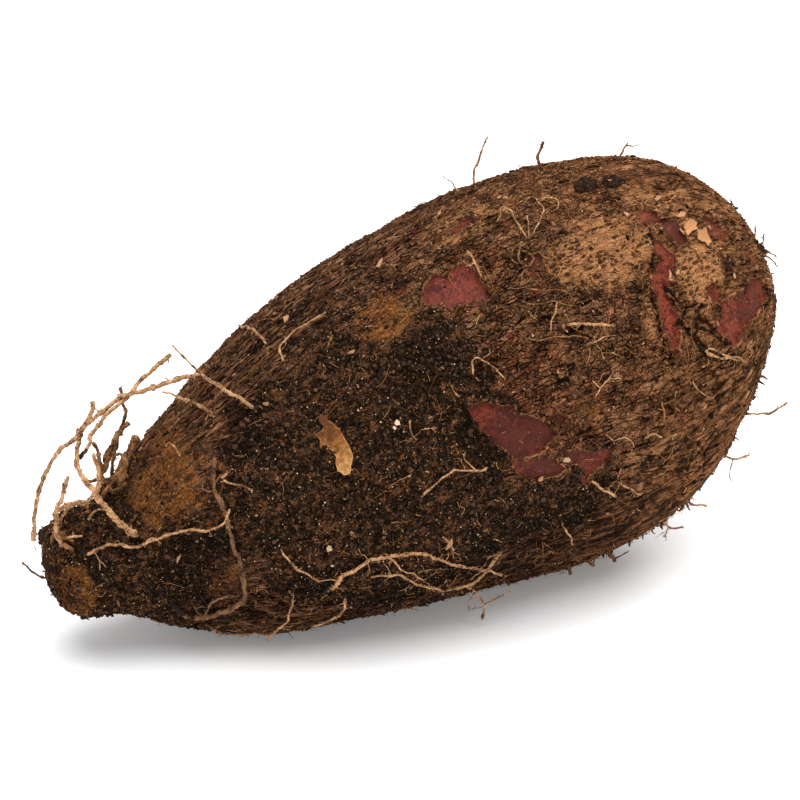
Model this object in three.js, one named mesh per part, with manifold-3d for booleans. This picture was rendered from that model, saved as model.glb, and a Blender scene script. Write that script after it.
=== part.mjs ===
// A freshly dug yam tuber lying on its side: a narrow neck at -X, a round end at +X.
// Millimetres, +Z up, resting on the plane z = 0.
import * as THREE from "three";
import { mergeVertices } from "three/addons/utils/BufferGeometryUtils.js";
import Module from "manifold-3d";

// Driving dimensions
const LENGTH = 240; // tip of the neck to the round end
const GAP = 0.3; // air kept between neighbouring pieces
const SKIN_STEPS_ALONG = 52;
const SKIN_STEPS_AROUND = 40;
const ROOT_SIDES = 6;
const ROOT_STEP = 3.6; // length of one stretch of a root

// Sections at equal steps of the angle that runs from the neck to the round end:
// half height, half width, height of the middle. Each is drawn in by the sine of that
// angle, which rounds both ends.
const SECTIONS = [
  [72, 72, 28],
  [51, 55, 29],
  [32, 37, 30],
  [41, 36, 35],
  [48, 50, 41],
  [52, 58, 49],
  [57, 61, 56],
  [65, 61, 61],
  [73, 65, 65],
  [78, 69, 71],
  [72, 72, 79],
  [71, 73, 78],
  [84, 84, 76],
];
// How far the middle wanders sideways, from the neck to the round end
const SWAY = [5, 2, 5, 0, -6];

const sectionCurve = new THREE.CatmullRomCurve3(
  SECTIONS.map(([halfHeight, halfWidth, height]) => new THREE.Vector3(halfHeight, halfWidth, height)),
  false, "catmullrom", 0.5);
const swayCurve = new THREE.CatmullRomCurve3(
  SWAY.map((y, i) => new THREE.Vector3(i, y, 0)), false, "catmullrom", 0.5);

// A place on the skin: `along` in mm from the neck's tip, `around` in degrees from the
// top towards the front (-Y).
function skinPoint(along, around) {
  const turn = Math.acos(THREE.MathUtils.clamp(1 - (2 * along) / LENGTH, -1, 1));
  const t = turn / Math.PI;
  const { x: halfHeight, y: halfWidth, z: height } = sectionCurve.getPoint(t);
  const angle = THREE.MathUtils.degToRad(around);
  return new THREE.Vector3(
    along - LENGTH / 2,
    swayCurve.getPoint(t).y - halfWidth * Math.sin(turn) * Math.sin(angle),
    Math.max(height + halfHeight * Math.sin(turn) * Math.cos(angle), 0));
}

// The same place raised `lift` mm off the skin, or sunk into it where lift is negative
function offSkin(along, around, lift) {
  const reach = 0.5;
  const lengthwise = skinPoint(along + reach, around).sub(skinPoint(along - reach, around));
  const crosswise = skinPoint(along, around + reach).sub(skinPoint(along, around - reach));
  const outward = crosswise.cross(lengthwise).normalize();
  return skinPoint(along, around).addScaledVector(outward, lift);
}

// Closed solids in and out of the boolean library
const wasm = await Module();
wasm.setup();

function welded(geometry) {
  const bare = geometry.clone();
  bare.deleteAttribute("normal");
  bare.deleteAttribute("uv");
  return mergeVertices(bare);
}

function toSolid(geometry) {
  const closed = welded(geometry);
  return new wasm.Manifold(new wasm.Mesh({
    numProp: 3,
    vertProperties: new Float32Array(closed.attributes.position.array),
    triVerts: new Uint32Array(closed.index.array),
  }));
}

function toGeometry(solid) {
  const { vertProperties, triVerts } = solid.getMesh();
  const geometry = new THREE.BufferGeometry();
  geometry.setAttribute("position", new THREE.BufferAttribute(vertProperties, 3));
  geometry.setIndex(new THREE.BufferAttribute(triVerts, 1));
  geometry.computeVertexNormals();
  return geometry;
}

// The tuber, bent out of a ball whose poles are the neck's tip and the round end
function tuberGeometry() {
  const geometry = new THREE.SphereGeometry(1, SKIN_STEPS_AROUND, SKIN_STEPS_ALONG);
  const position = geometry.attributes.position;
  const v = new THREE.Vector3();
  for (let i = 0; i < position.count; i++) {
    v.fromBufferAttribute(position, i);
    const around = THREE.MathUtils.radToDeg(Math.atan2(v.x, v.z));
    const place = skinPoint((LENGTH / 2) * (1 + v.y), around);
    position.setXYZ(i, place.x, place.y, place.z);
  }
  geometry.computeVertexNormals();
  return geometry;
}

// The tuber swollen by the gap: whatever grows on the skin is cut back to this
function keepOut(geometry) {
  const swollen = welded(geometry);
  swollen.computeVertexNormals();
  const position = swollen.attributes.position;
  const normal = swollen.attributes.normal;
  const v = new THREE.Vector3();
  const n = new THREE.Vector3();
  for (let i = 0; i < position.count; i++) {
    v.fromBufferAttribute(position, i).addScaledVector(n.fromBufferAttribute(normal, i), GAP);
    position.setXYZ(i, v.x, v.y, v.z);
  }
  return toSolid(swollen);
}

// A root: a closed cylinder bent along its route and tapered from base to tip
function rootGeometry(points, [baseRadius, tipRadius]) {
  const route = new THREE.CatmullRomCurve3(points, false, "centripetal");
  const steps = Math.max(3, Math.round(route.getLength() / ROOT_STEP));
  const { normals, binormals } = route.computeFrenetFrames(steps, false);
  const geometry = new THREE.CylinderGeometry(1, 1, 1, ROOT_SIDES, steps);
  const position = geometry.attributes.position;
  for (let i = 0; i < position.count; i++) {
    const step = Math.round((position.getY(i) + 0.5) * steps);
    const radius = THREE.MathUtils.lerp(baseRadius, tipRadius, step / steps);
    const place = route.getPointAt(step / steps)
      .addScaledVector(normals[step], position.getX(i) * radius)
      .addScaledVector(binormals[step], -position.getZ(i) * radius);
    position.setXYZ(i, place.x, place.y, place.z);
  }
  return geometry;
}

const freeRoute = (route) => route.map(([x, y, z]) => new THREE.Vector3(x, y, z));
const skinRoute = (route) => route.map(([along, around, lift]) => offSkin(along, around, lift));

// A flat piece of `thickness`, laid on the skin about the place [along, around]. Its outline
// is in mm, x lengthwise and y towards the top, and its ends curl up by `curl`.
function laidGeometry({ place: [along, around], lift, thickness, curl, outline }) {
  const shape = new THREE.Shape(
    new THREE.SplineCurve(outline.map(([x, y]) => new THREE.Vector2(x, y)))
      .getPoints(outline.length * 2));
  const geometry = new THREE.ExtrudeGeometry(shape, { depth: thickness, steps: 1, bevelEnabled: false });
  const position = geometry.attributes.position;
  const radius = offSkin(along, around, 0).distanceTo(offSkin(along, around + 1, 0));
  const reach = Math.max(...outline.map(([x, y]) => Math.hypot(x, y)));
  for (let i = 0; i < position.count; i++) {
    const x = position.getX(i);
    const y = position.getY(i);
    const rise = curl * (Math.hypot(x, y) / reach) ** 2;
    const place = offSkin(along + x, around - y / radius, lift + rise + position.getZ(i));
    position.setXYZ(i, place.x, place.y, place.z);
  }
  return geometry;
}

// A lump of soil, half its size in each direction, pressed on the skin
function clodGeometry({ place: [along, around], size: [lengthwise, crosswise, high] }) {
  const geometry = new THREE.IcosahedronGeometry(1, 1);
  const position = geometry.attributes.position;
  const radius = offSkin(along, around, 0).distanceTo(offSkin(along, around + 1, 0));
  for (let i = 0; i < position.count; i++) {
    const [x, y, z] = [position.getX(i), position.getY(i), position.getZ(i)];
    const lump = 1 + 0.12 * Math.sin(5 * x + 3 * y) * Math.cos(4 * z);
    const place = offSkin(
      along + x * lengthwise * lump,
      around - (y * crosswise * lump) / radius,
      (0.3 + z * lump) * high);
    position.setXYZ(i, place.x, place.y, place.z);
  }
  return geometry;
}

// Finishes
function finish(color, roughness) {
  return new THREE.MeshStandardMaterial({ color, roughness, metalness: 0 });
}
const barkFinish = () => finish("#4a2f1c", 0.92);
const paleRootFinish = () => finish("#94704a", 0.8);
const darkRootFinish = () => finish("#4b3524", 0.88);
const leafFinish = () => finish("#9c6b36", 0.7);
const flakeFinish = () => finish("#b58b5f", 0.78);
const soilFinish = () => finish("#1e1712", 0.97);

// Roots of the crown, which stand clear of the neck: [x, y, z] from base to tip
const CROWN_ROOTS = [
  { name: "crown_root_arc", radii: [1.15, 0.85], paint: paleRootFinish, route: [
    [-62, 14, 75], [-70, 9, 79], [-82, 7, 79], [-97, 3, 78], [-107, -1, 75], [-115, -4, 71],
    [-121, -6, 67], [-125, -6, 60], [-127, -6, 52], [-128, -6, 44]] },
  { name: "crown_root_high", radii: [0.8, 0.95], paint: paleRootFinish, route: [
    [-114, -10, 68], [-110, -5, 69], [-105, 3, 70], [-99, 7, 73], [-92, 9.5, 76], [-87, 12, 79],
    [-76, 14, 85]] },
  { name: "crown_root_front", radii: [1.4, 0.85], paint: paleRootFinish, route: [
    [-97, -11, 40], [-102, -15, 45], [-108, -18, 52], [-113, -19, 60], [-117, -17, 68],
    [-116, -14, 74], [-111, -12, 82], [-110, -12, 85]] },
  { name: "crown_root_tip", radii: [0.95, 0.85], paint: paleRootFinish, route: [
    [-116, -1, 36], [-120, -3, 43], [-121, -7, 51], [-121, -13, 59], [-121, -19, 67]] },
  { name: "crown_root_bent", radii: [1.1, 0.85], paint: paleRootFinish, route: [
    [-114, 5, 40], [-118, 3, 47], [-115, 0, 50], [-111, -4, 52], [-108, -6, 56],
    [-107, -5, 60], [-108, -4, 66]] },
  { name: "crown_root_dark", radii: [1.3, 1.0], paint: darkRootFinish, route: [
    [-101, 12, 43], [-103, 5, 53], [-100, 6, 59], [-96, 8, 65], [-92, 9, 68]] },
  { name: "crown_root_stump", radii: [1.7, 1.6], paint: darkRootFinish, route: [
    [-97, 6, 46], [-98, 0, 56], [-96, 0, 62], [-93, 0, 67]],
  branch: { radii: [1.0, 1.0], route: [
    [-97, -0.5, 62], [-99, -5, 64], [-101, -10, 64], [-105, -14, 62], [-109, -11, 60]] } },
  { name: "crown_root_upright", radii: [0.9, 0.7], paint: darkRootFinish, route: [
    [-95, 14, 43], [-97, 12, 53], [-94, 14, 61], [-91, 14, 70], [-92, 15, 77]] },
  { name: "shoulder_root_long", radii: [0.95, 0.4], paint: paleRootFinish, route: [
    [-61, -14, 73], [-65, -16, 78], [-71, -11, 82], [-77, -12, 87], [-80, -9, 91], [-83, -5, 95]] },
  { name: "shoulder_root_short", radii: [0.9, 0.4], paint: paleRootFinish, route: [
    [-70, -7, 70], [-75, -8, 75], [-80, -11, 79], [-90, -14, 85]] },
  { name: "neck_twig", radii: [0.6, 0.4], paint: darkRootFinish, route: [
    [-116, 9, 24], [-123, 4, 27], [-126, 3, 30], [-129, 2, 34]] },
];

// Roots that lie on the skin or stand out of it: [along, around, lift] from base to tip
const SKIN_ROOTS = [
  { name: "neck_root", radii: [0.75, 0.45], paint: paleRootFinish, route: [
    [3, 60, -1.5], [8, 53, 1.6], [13, 50, 1.6], [21, 62, 1.4], [32, 68, 1.5], [38, 72, 3],
    [43, 71, 4], [45, 66, 3.8]] },
  { name: "hooked_root", radii: [1.2, 0.8], paint: darkRootFinish, route: [
    [28, 118, -1.5], [32, 126, 2], [36, 130, 2], [43, 123, 2], [47, 111, 2], [46, 96, 2],
    [44, 82, 1.9], [43, 65, 1.8], [42, 53, 1.7], [44, 40, 1.5]],
  branch: { radii: [0.6, 0.5], route: [
    [47, 111, 2], [44, 111, 1.7], [39, 117, 1.4], [38, 121, 3.6]] } },
  { name: "side_rootlet", radii: [0.55, 0.4], paint: paleRootFinish, route: [
    [52, 64, -1], [49, 59, 1.2], [45, 54, 1.2], [44.5, 52, 1.6]] },
  { name: "belly_root_long", radii: [0.85, 0.5], paint: paleRootFinish, route: [
    [65, 117, -1.5], [68, 111, 1.6], [73, 103, 1.6], [84, 102, 1.5], [95, 106, 1.4],
    [104, 114, 1.3], [113, 120, 1.2], [125, 130, 1.2]] },
  { name: "belly_root_crossing", radii: [0.7, 0.45], paint: paleRootFinish, route: [
    [121, 108, -1], [118, 113, 2.4], [115, 120, 3.4], [112, 126, 2.8], [107, 130, 1.4],
    [102, 126, 1.2], [93, 118, 1.2], [86, 111, 1.2], [79, 109, 1.2]] },
  { name: "belly_root_short", radii: [0.65, 0.45], paint: paleRootFinish, route: [
    [73, 116, -1.2], [74, 122, 1.4], [74, 129, 1.3], [72, 135, 1.2], [68, 138, 1.2]] },
  { name: "belly_rootlet", radii: [0.5, 0.4], paint: paleRootFinish, route: [
    [53, 86, -1], [57, 94, 1.2], [62, 102, 1.2], [65, 106, 1.2]] },
  { name: "hanging_root", radii: [0.65, 0.45], paint: paleRootFinish, route: [
    [113, 134, -1.2], [118, 136, 2], [121, 139, 6], [121, 142, 10]] },
  { name: "leaning_rootlet", radii: [0.5, 0.4], paint: paleRootFinish, route: [
    [59, 112, -1], [59, 120, 1.3], [59, 129, 1.5], [57, 136, 3], [56, 138, 5]] },
  { name: "underside_rootlet", radii: [0.5, 0.4], paint: paleRootFinish, route: [
    [39, 143, -1], [44, 150, 1.4], [49, 152, 1.6], [54, 150, 1.3], [60, 145, 1.3]] },
  { name: "top_rootlet_near_neck", radii: [0.6, 0.4], paint: paleRootFinish, route: [
    [69, 5, -1], [70, -7, 1.3], [72, -27, 1.2]] },
  { name: "top_rootlet_hooked", radii: [0.55, 0.45], paint: paleRootFinish, route: [
    [87, 8, -1], [83, 11, 1.3], [76, 9, 1.2], [71, 11, 1.2], [69, 18, 1.2]] },
  { name: "top_rootlet_split", radii: [0.75, 0.45], paint: paleRootFinish, route: [
    [128, 18, -1], [127, 25, 1.3], [126, 31, 1.8]] },
  { name: "side_root_end", radii: [0.85, 0.5], paint: paleRootFinish, route: [
    [143, 54, -1.2], [147, 56, 1.5], [153, 58, 1.4], [159, 60, 1.3]] },
  { name: "round_end_rootlet", radii: [0.55, 0.45], paint: paleRootFinish, route: [
    [208, 87, -1], [202, 83, 1.2], [190, 75, 1.2]] },
  { name: "belly_root_end", radii: [0.65, 0.5], paint: paleRootFinish, route: [
    [147, 99, -1], [150, 102, 1.4], [158, 108, 1.3]] },
  { name: "branched_rootlet", radii: [0.45, 0.4], paint: paleRootFinish, route: [
    [116, 83, -1], [111, 83, 1.1], [102, 80, 1.1], [92, 84, 1.1]] },
  { name: "top_stalk_tall", radii: [0.65, 0.4], paint: paleRootFinish, route: [
    [153, -22, -1.2], [155, -22, 4], [159, -22, 9], [163, -23, 13]] },
  { name: "top_stalk_blunt", radii: [0.65, 0.8], paint: darkRootFinish, route: [
    [173, -17, -1.2], [174, -17, 3.5], [176, -17, 7]] },
  { name: "top_stalk_small", radii: [0.5, 0.4], paint: darkRootFinish, route: [
    [197, -10, -1.2], [198, -10, 2.5], [200, -11, 4.5]] },
  { name: "end_twig_upper", radii: [0.6, 0.5], paint: paleRootFinish, route: [
    [214, 118, -1.2], [216, 118, 4], [217, 117, 8], [219, 114, 11]] },
  { name: "end_twig_middle", radii: [0.6, 0.45], paint: paleRootFinish, route: [
    [207, 126, -1.2], [208, 126, 4], [210, 125, 7.5]] },
  { name: "end_twig_lower", radii: [0.5, 0.4], paint: paleRootFinish, route: [
    [190, 141, -1], [191, 142, 3], [194, 142, 6]] },
  { name: "end_twig_low", radii: [0.5, 0.4], paint: paleRootFinish, route: [
    [197, 136, -1], [198, 137, 3], [200, 137, 6]] },
  { name: "root_stub_large", radii: [1.1, 1.0], paint: darkRootFinish, route: [
    [172, 148, -1.5], [174, 149, 1.5], [175, 150, 3.4]] },
  { name: "root_stub_middle", radii: [0.95, 0.85], paint: darkRootFinish, route: [
    [166, 148, -1.5], [167, 149, 1], [168, 150, 2.4]] },
  { name: "root_stub_small", radii: [0.85, 0.75], paint: darkRootFinish, route: [
    [156, 145, -1.5], [158, 147, 1], [159, 149, 2.6]] },
];

// Scraps that lie on the skin
const SCRAPS = [
  { name: "dead_leaf_scrap", paint: leafFinish, place: [72, 57], lift: 0.6, thickness: 0.5, curl: 2,
    outline: [[-1, 8.5], [2, 2.5], [4, -4.5], [2.5, -8.5], [0, -8.5], [0.5, -4.5], [-3, 1], [-4, 5.5]] },
  { name: "bark_flake_upper", paint: flakeFinish, place: [192, 40], lift: 0.6, thickness: 0.4, curl: 0.8,
    outline: [[-3, 1], [-1, 1], [1, 3], [2, 0.5], [3, -1], [0, -2.5]] },
  { name: "bark_flake_lower", paint: flakeFinish, place: [198, 45], lift: 0.6, thickness: 0.4, curl: 0.8,
    outline: [[-2, 2.5], [0.5, 1], [3, 2], [2.5, -1.5], [1, -3], [-1.5, -0.5]] },
  { name: "bark_flap", paint: barkFinish, place: [195, 22], lift: 0.7, thickness: 0.8, curl: 1.4,
    outline: [[-4.5, 1], [0, 2], [4.5, 1], [3, -1.5], [-2.5, -2]] },
];

const CLODS = [
  { name: "soil_clod_top_large", place: [171, 14], size: [3.6, 2.8, 2.4] },
  { name: "soil_clod_top_small", place: [180, 15], size: [2.9, 2.6, 2.2] },
  { name: "soil_clod_neck", place: [3, -60], size: [2.2, 3, 2.4] },
  { name: "soil_clod_round_end", place: [228, 46], size: [3, 3.4, 2.8] },
];

const yam = new THREE.Group();

function addPiece(name, geometry, material) {
  const mesh = new THREE.Mesh(geometry, material);
  mesh.name = name;
  yam.add(mesh);
}

const tuber = tuberGeometry();
const tuberKeepOut = keepOut(tuber);
addPiece("tuber", tuber, barkFinish());

function addGrowth({ name, radii, paint, route, branch }, toPoints) {
  let solid = toSolid(rootGeometry(toPoints(route), radii));
  if (branch) {
    solid = solid.add(toSolid(rootGeometry(toPoints(branch.route), branch.radii)));
  }
  addPiece(name, toGeometry(solid.subtract(tuberKeepOut)), paint());
}

CROWN_ROOTS.forEach((root) => addGrowth(root, freeRoute));
SKIN_ROOTS.forEach((root) => addGrowth(root, skinRoute));
SCRAPS.forEach((scrap) => {
  addPiece(scrap.name, toGeometry(toSolid(laidGeometry(scrap)).subtract(tuberKeepOut)), scrap.paint());
});
CLODS.forEach((clod) => {
  addPiece(clod.name, toGeometry(toSolid(clodGeometry(clod)).subtract(tuberKeepOut)), soilFinish());
});

// The origin is the middle of the underside of the whole
const whole = new THREE.Box3().setFromObject(yam);
const middle = whole.getCenter(new THREE.Vector3());
yam.position.set(-middle.x, -middle.y, -whole.min.z);

export default yam;
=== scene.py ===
"""An unwashed yam tuber lying on its side, with stray roots, caked soil and peeling bark.

Natural coordinates place things on the skin: `along` in mm from the neck's tip, `around` in
degrees from the top towards the front (-Y), and `lift` in mm off the smooth skin. Points in
space are in mm until they become a mesh, which is in metres.
"""

import itertools
import logging
import math
from dataclasses import dataclass, field, fields, replace
from enum import Enum
from typing import Iterable, Sequence, Union

import bmesh
import bpy
import numpy as np
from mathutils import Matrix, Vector


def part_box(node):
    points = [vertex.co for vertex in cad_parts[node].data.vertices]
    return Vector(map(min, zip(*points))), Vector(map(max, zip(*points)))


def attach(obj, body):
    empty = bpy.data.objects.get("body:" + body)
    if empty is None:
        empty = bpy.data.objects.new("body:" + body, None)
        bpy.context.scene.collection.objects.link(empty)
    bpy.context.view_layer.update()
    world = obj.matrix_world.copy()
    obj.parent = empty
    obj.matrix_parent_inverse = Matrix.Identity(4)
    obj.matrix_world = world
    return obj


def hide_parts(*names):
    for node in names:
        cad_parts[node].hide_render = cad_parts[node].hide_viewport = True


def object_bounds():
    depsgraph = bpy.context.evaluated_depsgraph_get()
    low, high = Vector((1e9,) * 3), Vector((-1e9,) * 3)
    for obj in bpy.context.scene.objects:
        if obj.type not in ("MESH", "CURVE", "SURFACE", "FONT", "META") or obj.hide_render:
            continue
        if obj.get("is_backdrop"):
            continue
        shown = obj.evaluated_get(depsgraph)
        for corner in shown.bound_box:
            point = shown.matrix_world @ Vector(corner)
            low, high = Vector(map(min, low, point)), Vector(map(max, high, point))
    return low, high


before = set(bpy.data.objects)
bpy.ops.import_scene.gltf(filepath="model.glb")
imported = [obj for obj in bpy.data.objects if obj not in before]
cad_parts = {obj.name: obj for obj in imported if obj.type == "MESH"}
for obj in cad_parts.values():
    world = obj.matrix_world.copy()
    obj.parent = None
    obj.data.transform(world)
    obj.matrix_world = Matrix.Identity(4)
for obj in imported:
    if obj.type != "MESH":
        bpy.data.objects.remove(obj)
CAD_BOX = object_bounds()

MM = 0.001
BODY = "root"
FLOOR_GAP = 0.05
ROOT_GAP = 0.4
LOG = logging.getLogger("yam")

Array = np.ndarray
Colour = tuple[float, float, float]
Natural = tuple[float, float]
Routed = tuple[float, float, float]
Draws = np.random.Generator
Made = bpy.types.Object
Material = bpy.types.Material


def smoothstep(values: Array, low: float, high: float) -> Array:
    """0 where values are at or below low, 1 at or above high, and eased between."""
    t = np.clip((values - low) / (high - low), 0.0, 1.0)
    return t * t * (3.0 - 2.0 * t)


def unit(vectors: Array) -> Array:
    """Vectors in the rows' directions, each of length 1."""
    return vectors / np.maximum(np.linalg.norm(vectors, axis=-1, keepdims=True), 1e-9)


def hermite(w: Array, start: Array, end: Array, leave: Array, arrive: Array) -> Array:
    """Reads a smooth curve between two points.

    Args:
        w: Places on it, from 0 to 1.
        start: Its first point.
        end: Its last point.
        leave: Its slope at the first.
        arrive: Its slope at the last.

    Returns:
        Points on it.
    """
    return (
        (2 * w**3 - 3 * w**2 + 1) * start
        + (w**3 - 2 * w**2 + w) * leave
        + (3 * w**2 - 2 * w**3) * end
        + (w**3 - w**2) * arrive
    )


def catmull_rom(values: Array, t: Array) -> Array:
    """Reads a smooth curve through rows of values at equal steps of t.

    Args:
        values: The rows that the curve passes through.
        t: Places on it, from 0 to 1.

    Returns:
        One row for each t.
    """
    padded = np.vstack([2 * values[0] - values[1], values, 2 * values[-1] - values[-2]])
    place = np.clip(t, 0.0, 1.0) * (len(values) - 1)
    i = np.minimum(place.astype(int), len(values) - 2)
    before, start, end, after = padded[i], padded[i + 1], padded[i + 2], padded[i + 3]
    w = (place - i)[:, None]
    return hermite(w, start, end, 0.5 * (end - before), 0.5 * (after - start))


def through(points: Array, step: float) -> Array:
    """Follows a centripetal curve through points.

    Args:
        points: The points it passes through.
        step: About how far apart the results lie.

    Returns:
        Points at equal distances, the first and last included.
    """
    padded = np.vstack([2 * points[0] - points[1], points, 2 * points[-1] - points[-2]])
    knots = np.sqrt(np.maximum(np.linalg.norm(np.diff(padded, axis=0), axis=1), 1e-6))
    w = np.linspace(0.0, 1.0, 24, endpoint=False)[:, None]
    stretches = []
    for i in range(len(points) - 1):
        p0, p1, p2, p3 = padded[i : i + 4]
        d0, d1, d2 = knots[i : i + 3]
        leave = ((p1 - p0) / d0 - (p2 - p0) / (d0 + d1) + (p2 - p1) / d1) * d1
        arrive = ((p2 - p1) / d1 - (p3 - p1) / (d1 + d2) + (p3 - p2) / d2) * d1
        stretches.append(hermite(w, p1, p2, leave, arrive))
    dense = np.vstack([*stretches, points[-1:]])
    reach = np.concatenate([[0.0], np.cumsum(np.linalg.norm(np.diff(dense, axis=0), axis=1))])
    count = max(3, int(round(reach[-1] / step)) + 1)
    at = np.linspace(0.0, reach[-1], count)
    return np.stack([np.interp(at, reach, dense[:, k]) for k in range(3)], axis=1)


def straight(points: Array, step: float) -> Array:
    """Follows straight lines between points.

    Args:
        points: The points it passes through.
        step: About how far apart the results lie.

    Returns:
        Points with every given one among them.
    """
    lines = []
    for start, end in zip(points, points[1:]):
        count = max(1, int(round(float(np.linalg.norm(end - start)) / step)))
        lines.append(start + (end - start) * np.linspace(0, 1, count, endpoint=False)[:, None])
    return np.vstack([*lines, points[-1:]])


@dataclass(frozen=True)
class Noise:
    """Seeded noise fields over points in space.

    Attributes:
        seed: Tells one set of fields from another.
    """

    seed: int

    def _random(self, cell: Array, lane: int) -> Array:
        """Draws one number from 0 to 1 for each whole-numbered cell.

        Args:
            cell: Whole numbers, three along the last axis.
            lane: Tells several draws for one cell apart.

        Returns:
            One number for each cell.
        """
        with np.errstate(over="ignore"):
            key = cell.astype(np.int64).astype(np.uint64)
            primes = (np.uint64(p) for p in (73856093, 19349663, 83492791))
            x, y, z = (key[..., k] * prime for k, prime in enumerate(primes))
            mixed = (x ^ y ^ z) + np.uint64((self.seed * 8 + lane + 1) * 0x9E3779B97F4A7C15 % 2**64)
            mixed = (mixed ^ (mixed >> np.uint64(30))) * np.uint64(0xBF58476D1CE4E5B9)
            mixed = (mixed ^ (mixed >> np.uint64(27))) * np.uint64(0x94D049BB133111EB)
            mixed = mixed ^ (mixed >> np.uint64(31))
        return (mixed >> np.uint64(11)).astype(float) / 2.0**53

    def smooth(self, points: Array, size: float) -> Array:
        """Rolling noise of one size.

        Args:
            points: Where it is read.
            size: About how wide its features are.

        Returns:
            Numbers of about -1 to 1.
        """
        place = points / size
        cell = np.floor(place)
        inside = place - cell
        ease = inside**3 * (inside * (inside * 6 - 15) + 10)
        total = np.zeros(len(points))
        for corner in itertools.product((0, 1), repeat=3):
            step = np.array(corner, float)
            share = np.prod(np.where(step > 0, ease, 1 - ease), axis=1)
            slope = np.stack([self._random(cell + step, k) for k in range(3)], axis=1) * 2 - 1
            total += share * ((inside - step) * slope).sum(axis=1)
        return total * 1.7

    def layered(self, points: Array, size: float, layers: int) -> Array:
        """Rolling noise with finer noise laid over it.

        Args:
            points: Where it is read.
            size: About how wide its broadest features are.
            layers: How many sizes it has, each half of the last.

        Returns:
            Numbers of about -1 to 1.
        """
        total = np.zeros(len(points))
        for k in range(layers):
            total += self.smooth(points + 31.7 * k, size / 2**k) / 2**k
        return total / (2 - 0.5 ** (layers - 1))

    def cells(self, points: Array, size: float) -> tuple[Array, Array, Array]:
        """A pattern of cells, like dried mud.

        Args:
            points: Where it is read.
            size: About how wide a cell is.

        Returns:
            The distance to the nearest cell's middle, how much further the next is, both in
            cell widths, and a number from 0 to 1 that is the cell's own.
        """
        place = points / size
        cell = np.floor(place)
        nearest = np.full(len(points), 9.0)
        second = np.full(len(points), 9.0)
        own = np.zeros(len(points))
        for step in itertools.product((-1, 0, 1), repeat=3):
            there = cell + np.array(step, float)
            middle = there + np.stack([self._random(there, k) for k in range(3)], axis=1)
            far = np.linalg.norm(place - middle, axis=1)
            closer = far < nearest
            second = np.where(closer, nearest, np.minimum(second, far))
            own = np.where(closer, self._random(there, 3), own)
            nearest = np.where(closer, far, nearest)
        return nearest, second - nearest, own


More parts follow.
